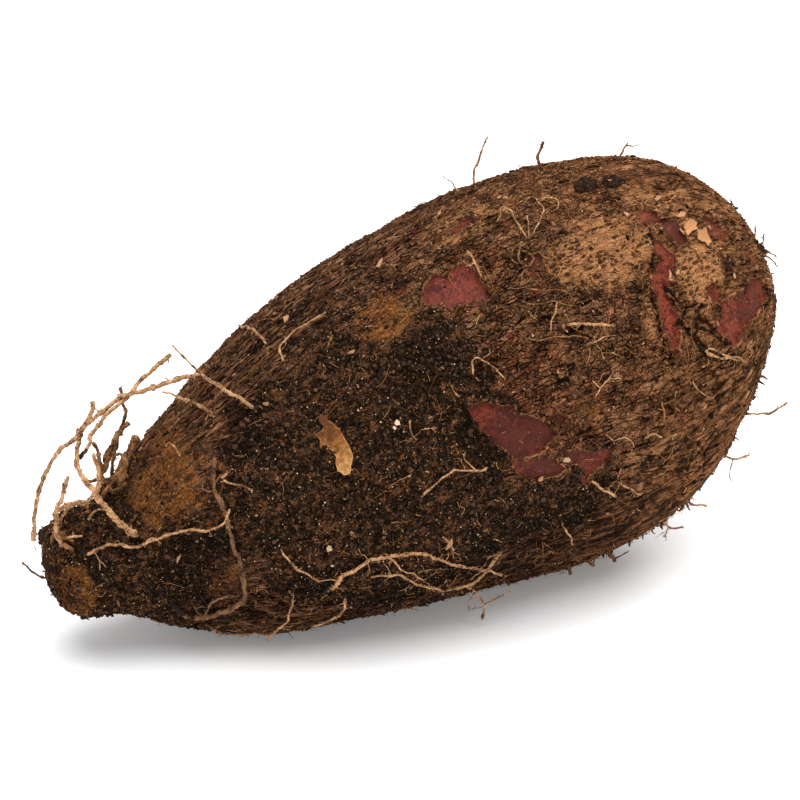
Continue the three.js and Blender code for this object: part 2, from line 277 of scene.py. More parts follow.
@dataclass(frozen=True)
class TuberForm:
    """The tuber's smooth outer form, between the neck's tip and the round end.

    Attributes:
        length: mm from the neck's tip to the round end.
        sections: Half height, half width and height of the middle, in mm, at equal steps of the
            turn from the neck to the round end. Each is drawn in by the sine of that turn.
        sway: How far the middle wanders sideways, in mm, from the neck to the round end.
        shift: mm in X and Y from the form's own origin to the part's.
    """

    length: float = 240.0
    sections: tuple[tuple[float, float, float], ...] = (
        (72, 72, 28), (51, 55, 29), (32, 37, 30), (41, 36, 35), (48, 50, 41), (52, 58, 49),
        (57, 61, 56), (65, 61, 61), (73, 65, 65), (78, 69, 71), (72, 72, 79), (71, 73, 78),
        (84, 84, 76),
    )
    sway: tuple[float, ...] = (5, 2, 5, 0, -6)
    shift: tuple[float, float] = (0.0, 0.0)

    @classmethod
    def in_frame(cls, node: str) -> "TuberForm":
        """Places the form where the part's own solid lies.

        Args:
            node: The tuber's node.

        Returns:
            The form, shifted to the node.
        """
        low, high = (np.array(corner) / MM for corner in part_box(node))
        loose = cls()
        turn, around = np.meshgrid(np.linspace(0, np.pi, 90), np.linspace(-180, 180, 90))
        points = loose.point(loose.along_at(turn.ravel()), around.ravel())
        middle = (points.min(axis=0) + points.max(axis=0)) / 2
        shift = (low + high) / 2 - middle
        return cls(shift=(float(shift[0]), float(shift[1])))

    def turn_at(self, along: Array) -> Array:
        """The turn, from 0 at the neck to pi at the round end, of places along the tuber."""
        return np.arccos(np.clip(1 - 2 * along / self.length, -1.0, 1.0))

    def along_at(self, turn: Array) -> Array:
        """The places along the tuber, in mm, of turns from 0 to pi."""
        return self.length / 2 * (1 - np.cos(turn))

    def _section(self, turn: Array) -> Array:
        """Rows of half height, half width, height of the middle and sway, in mm, at turns."""
        tables = np.array(self.sections, float), np.array(self.sway, float)[:, None]
        return np.vstack([catmull_rom(table, turn / np.pi).T for table in tables])

    def point(self, along: Array, around: Array) -> Array:
        """Points on the smooth skin.

        Args:
            along: mm from the neck's tip.
            around: Degrees from the top towards the front.

        Returns:
            Points in mm.
        """
        turn, angle = self.turn_at(along), np.radians(around)
        half_height, half_width, height, sway = self._section(turn)
        x = along - self.length / 2 + self.shift[0]
        y = sway - half_width * np.sin(turn) * np.sin(angle) + self.shift[1]
        z = np.maximum(height + half_height * np.sin(turn) * np.cos(angle), 0.0)
        return np.stack([x, y, z], axis=1)

    def outward(self, along: Array, around: Array) -> Array:
        """Directions straight out of the skin.

        Args:
            along: mm from the neck's tip.
            around: Degrees from the top towards the front.

        Returns:
            Vectors of length 1.
        """
        turn = np.clip(self.turn_at(along), 0.03, np.pi - 0.03)
        ahead = self.point(self.along_at(turn + 0.01), around)
        behind = self.point(self.along_at(turn - 0.01), around)
        here = self.along_at(turn)
        beside = self.point(here, around + 0.5) - self.point(here, around - 0.5)
        return unit(np.cross(beside, ahead - behind))

    def nearest(self, points: Array) -> tuple[Array, Array]:
        """Natural coordinates of about the nearest places on the skin.

        Args:
            points: Points in mm.

        Returns:
            mm along and degrees around.
        """
        along = np.clip(points[:, 0] - self.shift[0] + self.length / 2, 0.5, self.length - 0.5)
        half_height, half_width, height, sway = self._section(self.turn_at(along))
        across = (sway + self.shift[1] - points[:, 1]) / half_width
        return along, np.degrees(np.arctan2(across, (points[:, 2] - height) / half_height))

    def off_skin(self, along: Array, around: Array, lift: Array) -> Array:
        """Points lifted off the smooth skin, in mm, at natural coordinates."""
        raised = np.asarray(lift, float).reshape(-1, 1)
        return self.point(along, around) + self.outward(along, around) * raised

    def grain(self, along: Array, around: Array) -> Array:
        """Places on a straight cylinder that the skin is bent from, so that the bark's grain
        runs lengthwise and has no seam.

        Args:
            along: mm from the neck's tip.
            around: Degrees from the top towards the front.

        Returns:
            Points in mm, with the length as the third number.
        """
        angle = np.radians(around)
        turn = self.turn_at(along)
        return np.stack([60 * np.sin(angle), 60 * np.cos(angle), 110 * turn], axis=1)

    def reach(self, along: float, around: float) -> tuple[float, float]:
        """How much skin one mm along and one degree around cover at a place.

        Args:
            along: mm from the neck's tip.
            around: Degrees from the top towards the front.

        Returns:
            mm of skin for 1 mm along and for 1 degree around.
        """
        spots = self.point(
            np.array([along - 1, along + 1, along, along]),
            np.array([around, around, around - 1, around + 1]),
        )
        return (
            float(np.linalg.norm(spots[1] - spots[0]) / 2),
            float(np.linalg.norm(spots[3] - spots[2]) / 2),
        )


def turned(around: Array, middle: float) -> Array:
    """How far round places lie from a middle, from -180 to 180 degrees."""
    return (around - middle + 180) % 360 - 180


@dataclass(frozen=True)
class Blot:
    """A soft-edged oval on the skin.

    Attributes:
        at: Its middle, in natural coordinates.
        half: Half its size along and around, in mm of skin.
        weight: How strong it is.
    """

    at: Natural
    half: tuple[float, float]
    weight: float = 1.0

    def strength(self, form: TuberForm, along: Array, around: Array) -> Array:
        """How strong the oval is at places on the skin.

        Args:
            form: The tuber's form.
            along: mm from the neck's tip.
            around: Degrees from the top towards the front.

        Returns:
            The weight at the middle, half of it at the edge and less beyond.
        """
        lengthwise, crosswise = form.reach(*self.at)
        x = (along - self.at[0]) * lengthwise / self.half[0]
        y = turned(around, self.at[1]) * crosswise / self.half[1]
        return self.weight / (1 + (x * x + y * y) ** 2)


def gap_to(x: Array, y: Array, first: Array, second: Array) -> Array:
    """How far places are from the straight line between two corners.

    Args:
        x: The places' first coordinates.
        y: Their second coordinates.
        first: One corner.
        second: The other.

    Returns:
        One distance for each place.
    """
    step = second - first
    t = np.clip(((x - first[0]) * step[0] + (y - first[1]) * step[1]) / (step @ step), 0, 1)
    return np.hypot(x - first[0] - t * step[0], y - first[1] - t * step[1])


def laid_flat(
    form: TuberForm, corners: Sequence[Natural], at: tuple[Array, Array], margin: float,
    width: float,
) -> tuple[Array, Array, Array, Array]:
    """Lays the skin about some corners flat.

    Args:
        form: The tuber's form.
        corners: The corners, in natural coordinates.
        at: Natural coordinates of places on the skin.
        margin: How far outside the corners is still near, in widths.
        width: mm in a width.

    Returns:
        The corners, which places are near them, and the near places' x and y, in widths.
    """
    rows = np.array(corners, float)
    centre = rows.mean(axis=0)
    scale = np.array(form.reach(*centre)) / width
    flat = (rows - centre) * scale
    x = (at[0] - centre[0]) * scale[0]
    y = turned(at[1], centre[1]) * scale[1]
    low, high = flat.min(axis=0) - margin, flat.max(axis=0) + margin
    near = np.nonzero((x > low[0]) & (x < high[0]) & (y > low[1]) & (y < high[1]))[0]
    return flat, near, x[near], y[near]


@dataclass(frozen=True)
class Furrow:
    """A crack or a deep groove in the bark.

    Attributes:
        route: Places along it, in natural coordinates.
        width: Half its width, in mm.
    """

    route: tuple[Natural, ...]
    width: float = 0.7

    def away(self, form: TuberForm, along: Array, around: Array, margin: float) -> Array:
        """How far places are from the furrow.

        Args:
            form: The tuber's form.
            along: mm from the neck's tip.
            around: Degrees from the top towards the front.
            margin: The furthest that is told apart, in widths.

        Returns:
            Distances, in widths, never over the margin.
        """
        flat, near, x, y = laid_flat(form, self.route, (along, around), margin, self.width)
        result = np.full(len(along), margin)
        for first, second in zip(flat, flat[1:]):
            result[near] = np.minimum(result[near], gap_to(x, y, first, second))
        return result


@dataclass(frozen=True)
class BarePatch:
    """A place where the bark has peeled away from the red skin under it.

    Attributes:
        outline: Its corners, in natural coordinates.
        ragged: How far its edge wanders, in mm.
        bareness: 1 where all the bark is gone, less where a thin stain of it is left.
    """

    outline: tuple[Natural, ...]
    ragged: float = 0.9
    bareness: float = 1.0

    def inside(self, form: TuberForm, along: Array, around: Array, margin: float) -> Array:
        """How deep places lie inside the outline.

        Args:
            form: The tuber's form.
            along: mm from the neck's tip.
            around: Degrees from the top towards the front.
            margin: The furthest outside that is told apart, in mm.

        Returns:
            mm from the outline, above 0 inside it and never under -margin.
        """
        flat, near, x, y = laid_flat(form, self.outline, (along, around), margin, 1.0)
        closest = np.full(len(near), margin)
        within = np.zeros(len(near), bool)
        for first, second in zip(flat, np.roll(flat, -1, axis=0)):
            closest = np.minimum(closest, gap_to(x, y, first, second))
            (ax, ay), (bx, by) = first, second
            crossing = (bx - ax) * (y - ay) / (by - ay if by != ay else 1e-9) + ax
            within ^= ((ay > y) != (by > y)) & (x < crossing)
        result = np.full(len(along), -margin)
        result[near] = np.where(within, closest, -closest)
        return result


@dataclass(frozen=True)
class Survey:
    """What the skin is like at places on it, one number or row for each.

    Attributes:
        smooth: Points on the smooth form, in mm.
        outward: Directions out of the skin.
        grain: Places on the straightened skin.
        lift: mm that the rough bark stands off the smooth form.
        soil: 1 where soil is caked.
        bare: 1 where the red skin is bare.
        edge: mm inside a bare patch's ragged edge, below 0 outside it.
        rub: 1 where the bark is rubbed thin and orange.
        net: 1 where pale cork shows as a net.
        ridge: 1 where the bark runs in lengthwise ridges.
        dusk: 1 where the bare skin is dusky.
        fresh: 1 where the skin is clean and its colour is brightened as painted light, 0 where it
            is old and dull.
        core: 1 where caked soil is black and bark is dark.
        crack: 1 in a furrow.
    """

    smooth: Array
    outward: Array
    grain: Array
    lift: Array
    soil: Array
    bare: Array
    edge: Array
    rub: Array
    net: Array
    ridge: Array
    dusk: Array
    fresh: Array
    core: Array
    crack: Array

    def looks(self) -> dict[str, Array]:
        """What a bark finish reads, by name."""
        names = ("grain", "soil", "bare", "edge", "rub", "net", "ridge", "dusk", "fresh")
        return {name: getattr(self, name) for name in (*names, "core", "crack")}

    def points(self, above: Union[float, Array] = 0.0) -> Array:
        """Points on the rough skin, in mm, raised by `above`."""
        return self.smooth + self.outward * np.reshape(self.lift + above, (-1, 1))

    def picked(self, kept: Array) -> "Survey":
        """The survey of some of its places."""
        return Survey(*(getattr(self, item.name)[kept] for item in fields(self)))


@dataclass(frozen=True)
class SkinMap:
    """Where the soil, the bare patches and the kinds of bark lie on the tuber.

    Attributes:
        form: The tuber's form.
        patches: The bare patches.
        soiled: Ovals of caked soil.
        rubbed: Ovals of thin orange bark.
        netted: Ovals of pale netted cork.
        ridged: Ovals of ridged bark, besides the underside, which is ridged all over.
        dusky: Ovals where the bare skin is dusky.
        dulled: Ovals of old bark in the bright half, where most of the painted light is taken back.
        cores: Ovals of black soil and dark bark.
        furrows: Cracks and grooves.
        sunken: Ovals that lie lower, by mm.
        edge_margin: How far from a bare patch its edge is felt, in mm.
    """

    form: TuberForm
    patches: tuple[BarePatch, ...]
    soiled: tuple[Blot, ...]
    rubbed: tuple[Blot, ...]
    netted: tuple[Blot, ...]
    ridged: tuple[Blot, ...]
    dusky: tuple[Blot, ...]
    dulled: tuple[Blot, ...]
    cores: tuple[Blot, ...]
    furrows: tuple[Furrow, ...]
    sunken: tuple[Blot, ...]
    edge_margin: float = 5.0

    def _blotted(self, blots: Iterable[Blot], along: Array, around: Array) -> Array:
        """The strongest of several blots at each place."""
        return np.max([b.strength(self.form, along, around) for b in blots], axis=0)

    def edge(self, smooth: Array, along: Array, around: Array) -> tuple[Array, Array]:
        """How deep places lie inside the ragged edge of a bare patch.

        Args:
            smooth: The places' points on the smooth form.
            along: mm from the neck's tip.
            around: Degrees from the top towards the front.

        Returns:
            mm inside the edge, and how bare the nearest patch is.
        """
        wander = Noise(11).layered(smooth, 5.0, 2)
        fray = Noise(12).layered(smooth, 1.6, 3)
        deepest = np.full(len(along), -self.edge_margin)
        bareness = np.ones(len(along))
        for patch in self.patches:
            depth = patch.inside(self.form, along, around, self.edge_margin)
            ragged = depth + patch.ragged * (wander + 1.1 * fray)
            depth = np.where(depth > -self.edge_margin, ragged, depth)
            bareness = np.where(depth > deepest, patch.bareness, bareness)
            deepest = np.maximum(deepest, depth)
        return deepest, bareness

    def furrowed(self, smooth: Array, along: Array, around: Array) -> Array:
        """How far places are from the nearest furrow, in its widths."""
        away = [f.away(self.form, along, around, 4.0) for f in self.furrows]
        return np.min(away, axis=0) + 0.7 * Noise(15).layered(smooth, 1.8, 2)

    def survey(self, along: Array, around: Array) -> Survey:
        """Looks at places on the skin.

        Args:
            along: mm from the neck's tip.
            around: Degrees from the top towards the front.

        Returns:
            What the skin is like there.
        """
        smooth = self.form.point(along, around)
        outward = self.form.outward(along, around)
        grain = self.form.grain(along, around)
        edge, bareness = self.edge(smooth, along, around)
        bare = smoothstep(edge, -0.12, 0.16) * bareness
        broad = Noise(1).layered(smooth, 26.0, 3)
        clumps = Noise(2).layered(smooth, 7.0, 3)
        crumbs = Noise(14).layered(smooth, 2.2, 2)
        soil = self._blotted(self.soiled, along, around) + 0.34 * broad + 0.4 * clumps
        soil = smoothstep(soil + 0.16 * crumbs, 0.3, 0.74)
        rub = self._blotted(self.rubbed, along, around) + 0.5 * clumps + 0.2 * crumbs
        rub = smoothstep(rub, 0.25, 1.0)
        net = self._blotted(self.netted, along, around) + 0.42 * clumps + 0.15 * broad
        net = smoothstep(net + 0.15 * crumbs, 0.16, 1.0)
        # Painted light: colours are brightened towards the round end as if lit from the right; the
        # same field thins cracks, scales and whiskers there.
        fresh = smoothstep(along + 16 * broad + 9 * clumps, 105.0, 182.0)
        fresh = fresh * (1 - 0.8 * self._blotted(self.dulled, along, around))
        core = self._blotted(self.cores, along, around) + 0.5 * broad + 0.3 * clumps
        core = smoothstep(core, 0.2, 0.8)
        underside = smoothstep(np.abs(turned(around, 0.0)) + 18 * broad, 84.0, 112.0)
        rounding = 0.85 * smoothstep(along + 10 * broad, 172.0, 196.0)
        ridge = smoothstep(self._blotted(self.ridged, along, around) + 0.3 * clumps, 0.3, 0.7)
        ridge = np.maximum(np.maximum(underside, rounding), ridge)
        keep = 1 - bare
        soil, rub, net, ridge = soil * keep, rub * keep, net * keep, ridge * keep
        soil = soil * (1 - 0.75 * rub) * (1 - 0.8 * net)
        crack = 1 - smoothstep(self.furrowed(smooth, along, around), 0.35, 1.2)
        stretched = grain + 1.6 * Noise(6).smooth(smooth, 5.0)[:, None]
        stretched = stretched * np.array([1.0, 1.0, 0.2])
        valley = 1 - smoothstep(np.abs(Noise(7).layered(stretched, 3.2, 3)), 0.02, 0.2)
        crack = np.maximum(crack, 0.85 * valley * ridge * (1 - 0.6 * soil) * (1 - 0.6 * net))
        lift = self._relief(smooth, grain, edge, bare, soil, ridge, net) - 0.7 * crack
        lift += 0.7 * soil * core * Noise(16).layered(smooth, 2.6, 2)
        lift += 1.2 * (1 - smoothstep(along, 4, 30)) * Noise(17).layered(smooth, 3.6, 3)
        lift -= self._blotted(self.sunken, along, around)
        dusk = smoothstep(self._blotted(self.dusky, along, around) + 0.3 * clumps, 0.2, 0.9)
        return Survey(
            smooth, outward, grain, lift, soil, bare, edge, rub, net, ridge, dusk, fresh, core,
            crack,
        )

    def _relief(
        self, smooth: Array, grain: Array, edge: Array, bare: Array, soil: Array, ridge: Array,
        net: Array,
    ) -> Array:
        """How far the rough skin stands off the smooth form.

        Args:
            smooth: Points on the smooth form.
            grain: Places on the straightened skin.
            edge: mm inside a bare patch's edge.
            bare: 1 where the red skin is bare.
            soil: 1 where soil is caked.
            ridge: 1 where the bark is ridged.
            net: 1 where the bark is netted.

        Returns:
            mm off the smooth form.
        """
        lumps = 0.9 * Noise(3).layered(smooth, 30.0, 2) + 0.35 * Noise(4).smooth(smooth, 9.0)
        laid = grain * np.array([1.0, 1.0, 0.6])
        _, gap, own = Noise(5).cells(laid + 1.1 * Noise(6).smooth(smooth, 4.0)[:, None], 3.3)
        plates = 0.42 * smoothstep(gap, 0.0, 0.25) + 0.35 * own
        crumbly = 0.42 * Noise(8).layered(smooth, 3.0, 2) + 0.2
        bark = plates * (1 - 0.7 * ridge) * (1 - 0.7 * net) + ridge * 0.35
        rough = bark * (1 - 0.6 * soil) + soil * crumbly + 0.12 * Noise(9).smooth(smooth, 2.2)
        lip = 0.6 * np.exp(-(((edge + 0.55) / 0.7) ** 2)) * (1 + Noise(10).smooth(smooth, 3.0))
        red = -0.55 + 0.12 * Noise(13).layered(smooth, 8.0, 2)
        return lumps + (rough + lip) * (1 - bare) + red * bare


@dataclass
class Shape:
    """Points, faces and values of one piece before it becomes an object.

    Attributes:
        points: Groups of points, in mm.
        faces: Groups of faces, each with one number of corners, counted over all points.
        values: Groups of values, one for each point, by name.
        count: How many points there are.
    """

    points: list[Array] = field(default_factory=list)
    faces: list[Array] = field(default_factory=list)
    values: dict[str, list[Array]] = field(default_factory=dict)
    count: int = 0

    def add(self, points: Array, faces: Iterable[Array], **values: Union[float, Array]) -> None:
        """Adds one group of points with its faces.

        Args:
            points: Points in mm.
            faces: Groups of faces, counted from this group's first point.
            values: A number or row for all points, or one for each, by name.
        """
        self.points.append(points)
        self.faces.extend(group + self.count for group in faces if len(group))
        for name, value in values.items():
            given = np.asarray(value, float)
            spread = (len(points), 3) if given.ndim == 2 else (len(points),)
            self.values.setdefault(name, []).append(np.broadcast_to(given, spread))
        self.count += len(points)

    def piece(self, name: str, material: Material, smooth: bool = True) -> Made:
        """Makes the object.

        Args:
            name: Its name.
            material: Its finish.
            smooth: Whether its faces shade smoothly into each other.

        Returns:
            The object, in the scene.
        """
        points = np.concatenate(self.points) * MM
        corners = np.concatenate([group.ravel() for group in self.faces])
        sizes = np.concatenate([np.full(len(g), g.shape[1]) for g in self.faces])
        mesh = bpy.data.meshes.new(name)
        mesh.vertices.add(len(points))
        mesh.vertices.foreach_set("co", points.astype(np.float32).ravel())
        mesh.loops.add(len(corners))
        mesh.loops.foreach_set("vertex_index", corners.astype(np.int32))
        mesh.polygons.add(len(sizes))
        starts = np.concatenate([[0], np.cumsum(sizes)[:-1]])
        mesh.polygons.foreach_set("loop_start", starts.astype(np.int32))
        mesh.polygons.foreach_set("use_smooth", np.full(len(sizes), smooth))
        mesh.update(calc_edges=True)
        mesh.validate()
        for key, groups in self.values.items():
            rows = np.concatenate(groups).astype(np.float32)
            kind, field_name = ("FLOAT_VECTOR", "vector") if rows.ndim == 2 else ("FLOAT", "value")
            mesh.attributes.new(key, kind, "POINT").data.foreach_set(field_name, rows.ravel())
        mesh.materials.append(material)
        made = bpy.data.objects.new(name, mesh)
        bpy.context.scene.collection.objects.link(made)
        return made


def settle(piece: Made, replaced: Sequence[str] = ()) -> Made:
    """Fixes a piece to the part and reports it.

    Args:
        piece: The object.
        replaced: The nodes that it stands for.

    Returns:
        The same object.
    """
    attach(piece, BODY)
    if replaced:
        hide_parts(*replaced)
    faces = sum(len(p.vertices) - 2 for p in piece.data.polygons)
    LOG.info("%s: %d triangles", piece.name, faces)
    return piece


def long_of(line: Array) -> float:
    """How long a line is."""
    return float(np.linalg.norm(np.diff(line, axis=0), axis=1).sum())


def tubes(centres: Array, radii: Array, across: Array, sides: int) -> tuple[Array, list[Array]]:
    """Closed round rods along several centre lines.

    Args:
        centres: The centre lines, rods by stations by 3.
        radii: The radius at each station.
        across: A direction at each station that isn't along the line.
        sides: How many corners a rod's section has.

    Returns:
        The points, and groups of faces.
    """
    rods, stations = radii.shape
    tangent = unit(np.gradient(centres, axis=1))
    sideways = unit(np.cross(tangent, across))
    upward = np.cross(sideways, tangent)
    angle = np.linspace(0, 2 * np.pi, sides, endpoint=False)
    ring = sideways[:, :, None] * np.cos(angle)[:, None]
    ring = ring + upward[:, :, None] * np.sin(angle)[:, None]
    skin = centres[:, :, None] + ring * radii[:, :, None, None]
    step = radii[:, [0, -1], None] * 0.4
    tips = centres[:, [0, -1]] + tangent[:, [0, -1]] * step * np.array([-1.0, 1.0])[:, None]
    each = stations * sides + 2
    points = np.concatenate([skin.reshape(rods, -1, 3), tips], axis=1).reshape(-1, 3)
    i = np.arange(sides)
    j = (i + 1) % sides
    rows = (np.arange(stations - 1) * sides)[:, None]
    walls = np.stack([rows + i, rows + j, rows + j + sides, rows + i + sides], axis=-1)
    last = (stations - 1) * sides
    start = np.stack([j, i, np.full(sides, stations * sides)], axis=-1)
    end = np.stack([last + i, last + j, np.full(sides, stations * sides + 1)], axis=-1)
    offsets = (np.arange(rods) * each)[:, None, None]
    quads = (walls.reshape(1, -1, 4) + offsets).reshape(-1, 4)
    fans = (np.concatenate([start, end])[None] + offsets).reshape(-1, 3)
    return points, [quads[:, ::-1], fans[:, ::-1]]


def carried(centre: Array) -> Array:
    """A direction across a centre line at each station that never twists about it.

    Args:
        centre: The centre line.

    Returns:
        One direction for each station.
    """
    tangent = unit(np.gradient(centre, axis=0))
    across = np.zeros_like(centre)
    start = np.array([0.0, 0.0, 1.0]) if abs(tangent[0, 2]) < 0.9 else np.array([0.0, 1.0, 0.0])
    for i, along in enumerate(tangent):
        start = start - along * float(start @ along)
        start = start / max(float(np.linalg.norm(start)), 1e-9)
        across[i] = start
    return across


Value = Union["Wire", float, Sequence[float]]


class Wire:
    """One output of a node. Arithmetic on it adds Math nodes."""

    def __init__(self, bench: "Bench", socket: bpy.types.NodeSocket) -> None:
        """Holds a node's output socket, and the bench that its material is made on."""
        self.bench = bench
        self.socket = socket

    def _math(self, operation: str, *operands: Value) -> "Wire":
        """The result of a Math node."""
        sockets = dict(enumerate(operands))
        return self.bench.node("ShaderNodeMath", {"operation": operation}, sockets)

    def __add__(self, other: Value) -> "Wire":
        """self + other."""
        return self._math("ADD", self, other)

    def __radd__(self, other: Value) -> "Wire":
        """other + self."""
        return self._math("ADD", other, self)

    def __sub__(self, other: Value) -> "Wire":
        """self - other."""
        return self._math("SUBTRACT", self, other)

    def __rsub__(self, other: Value) -> "Wire":
        """other - self."""
        return self._math("SUBTRACT", other, self)

    def __mul__(self, other: Value) -> "Wire":
        """self * other."""
        return self._math("MULTIPLY", self, other)

    def __rmul__(self, other: Value) -> "Wire":
        """other * self."""
        return self._math("MULTIPLY", other, self)

    def __abs__(self) -> "Wire":
        """The size of self without its sign."""
        return self._math("ABSOLUTE", self)

    def eased(self, low: float, high: float) -> "Wire":
        """0 at low, 1 at high and eased between."""
        settings = {"interpolation_type": "SMOOTHSTEP", "clamp": True}
        sockets = {"Value": self, "From Min": low, "From Max": high}
        return self.bench.node("ShaderNodeMapRange", settings, sockets)


def opaque(colour: Value) -> Value:
    """A colour as a socket takes it."""
    return colour if isinstance(colour, Wire) else (*colour, 1.0)


class Feature(Enum):
    """What a cell pattern measures."""

    MIDDLE = "F1"
    EDGE = "DISTANCE_TO_EDGE"


class Bench:
    """Makes one material, node by node."""

    COLOUR_A = 6
    COLOUR_B = 7
    COLOUR_RESULT = 2

    def __init__(self, name: str) -> None:
        """Starts a material.

        Args:
            name: Its name.
        """
        self.material = bpy.data.materials.new(name)
        self.material.use_nodes = True
        self.tree = self.material.node_tree
        self.tree.nodes.clear()

    def node(
        self, kind: str, settings: dict[str, object], sockets: dict[Union[str, int], Value],
        output: Union[str, int] = 0,
    ) -> Wire:
        """Adds a node.

        Args:
            kind: The node's type.
            settings: Its settings, and a ramp's stops, which are set first.
            sockets: Values or links of its inputs.
            output: Which output is wanted.

        Returns:
            That output.
        """
        made = self.tree.nodes.new(kind)
        for name, setting in settings.items():
            if name == "stops":
                ramp = made.color_ramp
                while len(ramp.elements) < len(setting):
                    ramp.elements.new(0.5)
                for element, (position, colour) in zip(ramp.elements, setting):
                    element.position = position
                    element.color = (*colour, 1.0)
            else:
                setattr(made, name, setting)
        for key, value in sockets.items():
            if isinstance(value, Wire):
                self.tree.links.new(value.socket, made.inputs[key])
            else:
                made.inputs[key].default_value = value
        return Wire(self, made.outputs[output])

    def place(self) -> Wire:
        """Places on the object, in mm."""
        metres = self.node("ShaderNodeTexCoord", {}, {}, "Object")
        return self.vector("SCALE", metres, Scale=1 / MM)

    def grain(self) -> Wire:
        """The place in mm along, across and out of the skin, which follows the bark."""
        return self.node("ShaderNodeAttribute", {"attribute_name": "grain"}, {}, "Vector")

    def value(self, name: str) -> Wire:
        """A number that the mesh carries at each point."""
        return self.node("ShaderNodeAttribute", {"attribute_name": name}, {}, "Fac")

    def vector(self, operation: str, *operands: Value, **named: Value) -> Wire:
        """The result of a Vector Math node."""
        sockets = {**dict(enumerate(operands)), **named}
        return self.node("ShaderNodeVectorMath", {"operation": operation}, sockets)

    def noise(self, place: Wire, size: float, detail: float = 3.0, rough: float = 0.55) -> Wire:
        """Rolling noise, of about 0.3 to 0.7.

        Args:
            place: Where it is read.
            size: About how wide its features are, in mm.
            detail: How many finer sizes it has.
            rough: How strong the finer sizes are.

        Returns:
            The noise.
        """
        sockets = {"Vector": place, "Scale": 1 / size, "Detail": detail, "Roughness": rough}
        return self.node("ShaderNodeTexNoise", {}, sockets, "Fac")

    def bent(self, place: Wire, size: float, by: float) -> Wire:
        """Places pushed about, so that a pattern read there looks grown.

        Args:
            place: The places.
            size: About how wide the pushes are, in mm.
            by: How far they push, in mm.

        Returns:
            The pushed places.
        """
        sockets = {"Vector": place, "Scale": 1 / size, "Detail": 2.0}
        push = self.node("ShaderNodeTexNoise", {}, sockets, "Color")
        return self.vector("MULTIPLY_ADD", push, (by,) * 3, place)

    def cells(self, place: Wire, size: float, feature: Feature, output: str = "Distance") -> Wire:
        """A pattern of cells of a size in mm: a distance, or each cell's own colour."""
        sockets = {"Vector": place, "Scale": 1 / size}
        return self.node("ShaderNodeTexVoronoi", {"feature": feature.value}, sockets, output)

    def own(self, place: Wire, size: float) -> Wire:
        """One number from 0 to 1 for each cell."""
        colour = self.cells(place, size, Feature.MIDDLE, "Color")
        return self.node("ShaderNodeSeparateColor", {}, {"Color": colour}, "Red")

    def mix(self, share: Value, first: Value, second: Value, blend: str = "MIX") -> Wire:
        """Mixes two colours.

        Args:
            share: How much of the second.
            first: A colour.
            second: A colour.
            blend: How they mix.

        Returns:
            The mixed colour.
        """
        settings = {"data_type": "RGBA", "blend_type": blend}
        sockets = {0: share, self.COLOUR_A: opaque(first), self.COLOUR_B: opaque(second)}
        return self.node("ShaderNodeMix", settings, sockets, self.COLOUR_RESULT)

    def ramp(self, share: Wire, stops: Sequence[tuple[float, Colour]]) -> Wire:
        """The colour at a share of a run of colours, whose stops go from 0 to 1."""
        return self.node("ShaderNodeValToRGB", {"stops": tuple(stops)}, {"Fac": share}, "Color")

    def finish(
        self, colour: Value, roughness: Value, height: Union[Wire, None] = None, **constants: Value,
    ) -> Material:
        """Ends the material in a surface.

        Args:
            colour: The base colour.
            roughness: How matt it is.
            height: Fine relief in mm.
            constants: Other inputs of the surface, by name.

        Returns:
            The material.
        """
        sockets: dict[Union[str, int], Value] = {
            "Base Color": opaque(colour), "Roughness": roughness,
        }
        sockets.update((name.replace("_", " "), number) for name, number in constants.items())
        if height is not None:
            relief = {"Strength": 1.0, "Distance": MM, "Height": height}
            sockets["Normal"] = self.node("ShaderNodeBump", {}, relief, "Normal")
        surface = self.node("ShaderNodeBsdfPrincipled", {}, sockets, "BSDF")
        end = self.tree.nodes.new("ShaderNodeOutputMaterial")
        self.tree.links.new(surface.socket, end.inputs["Surface"])
        return self.material


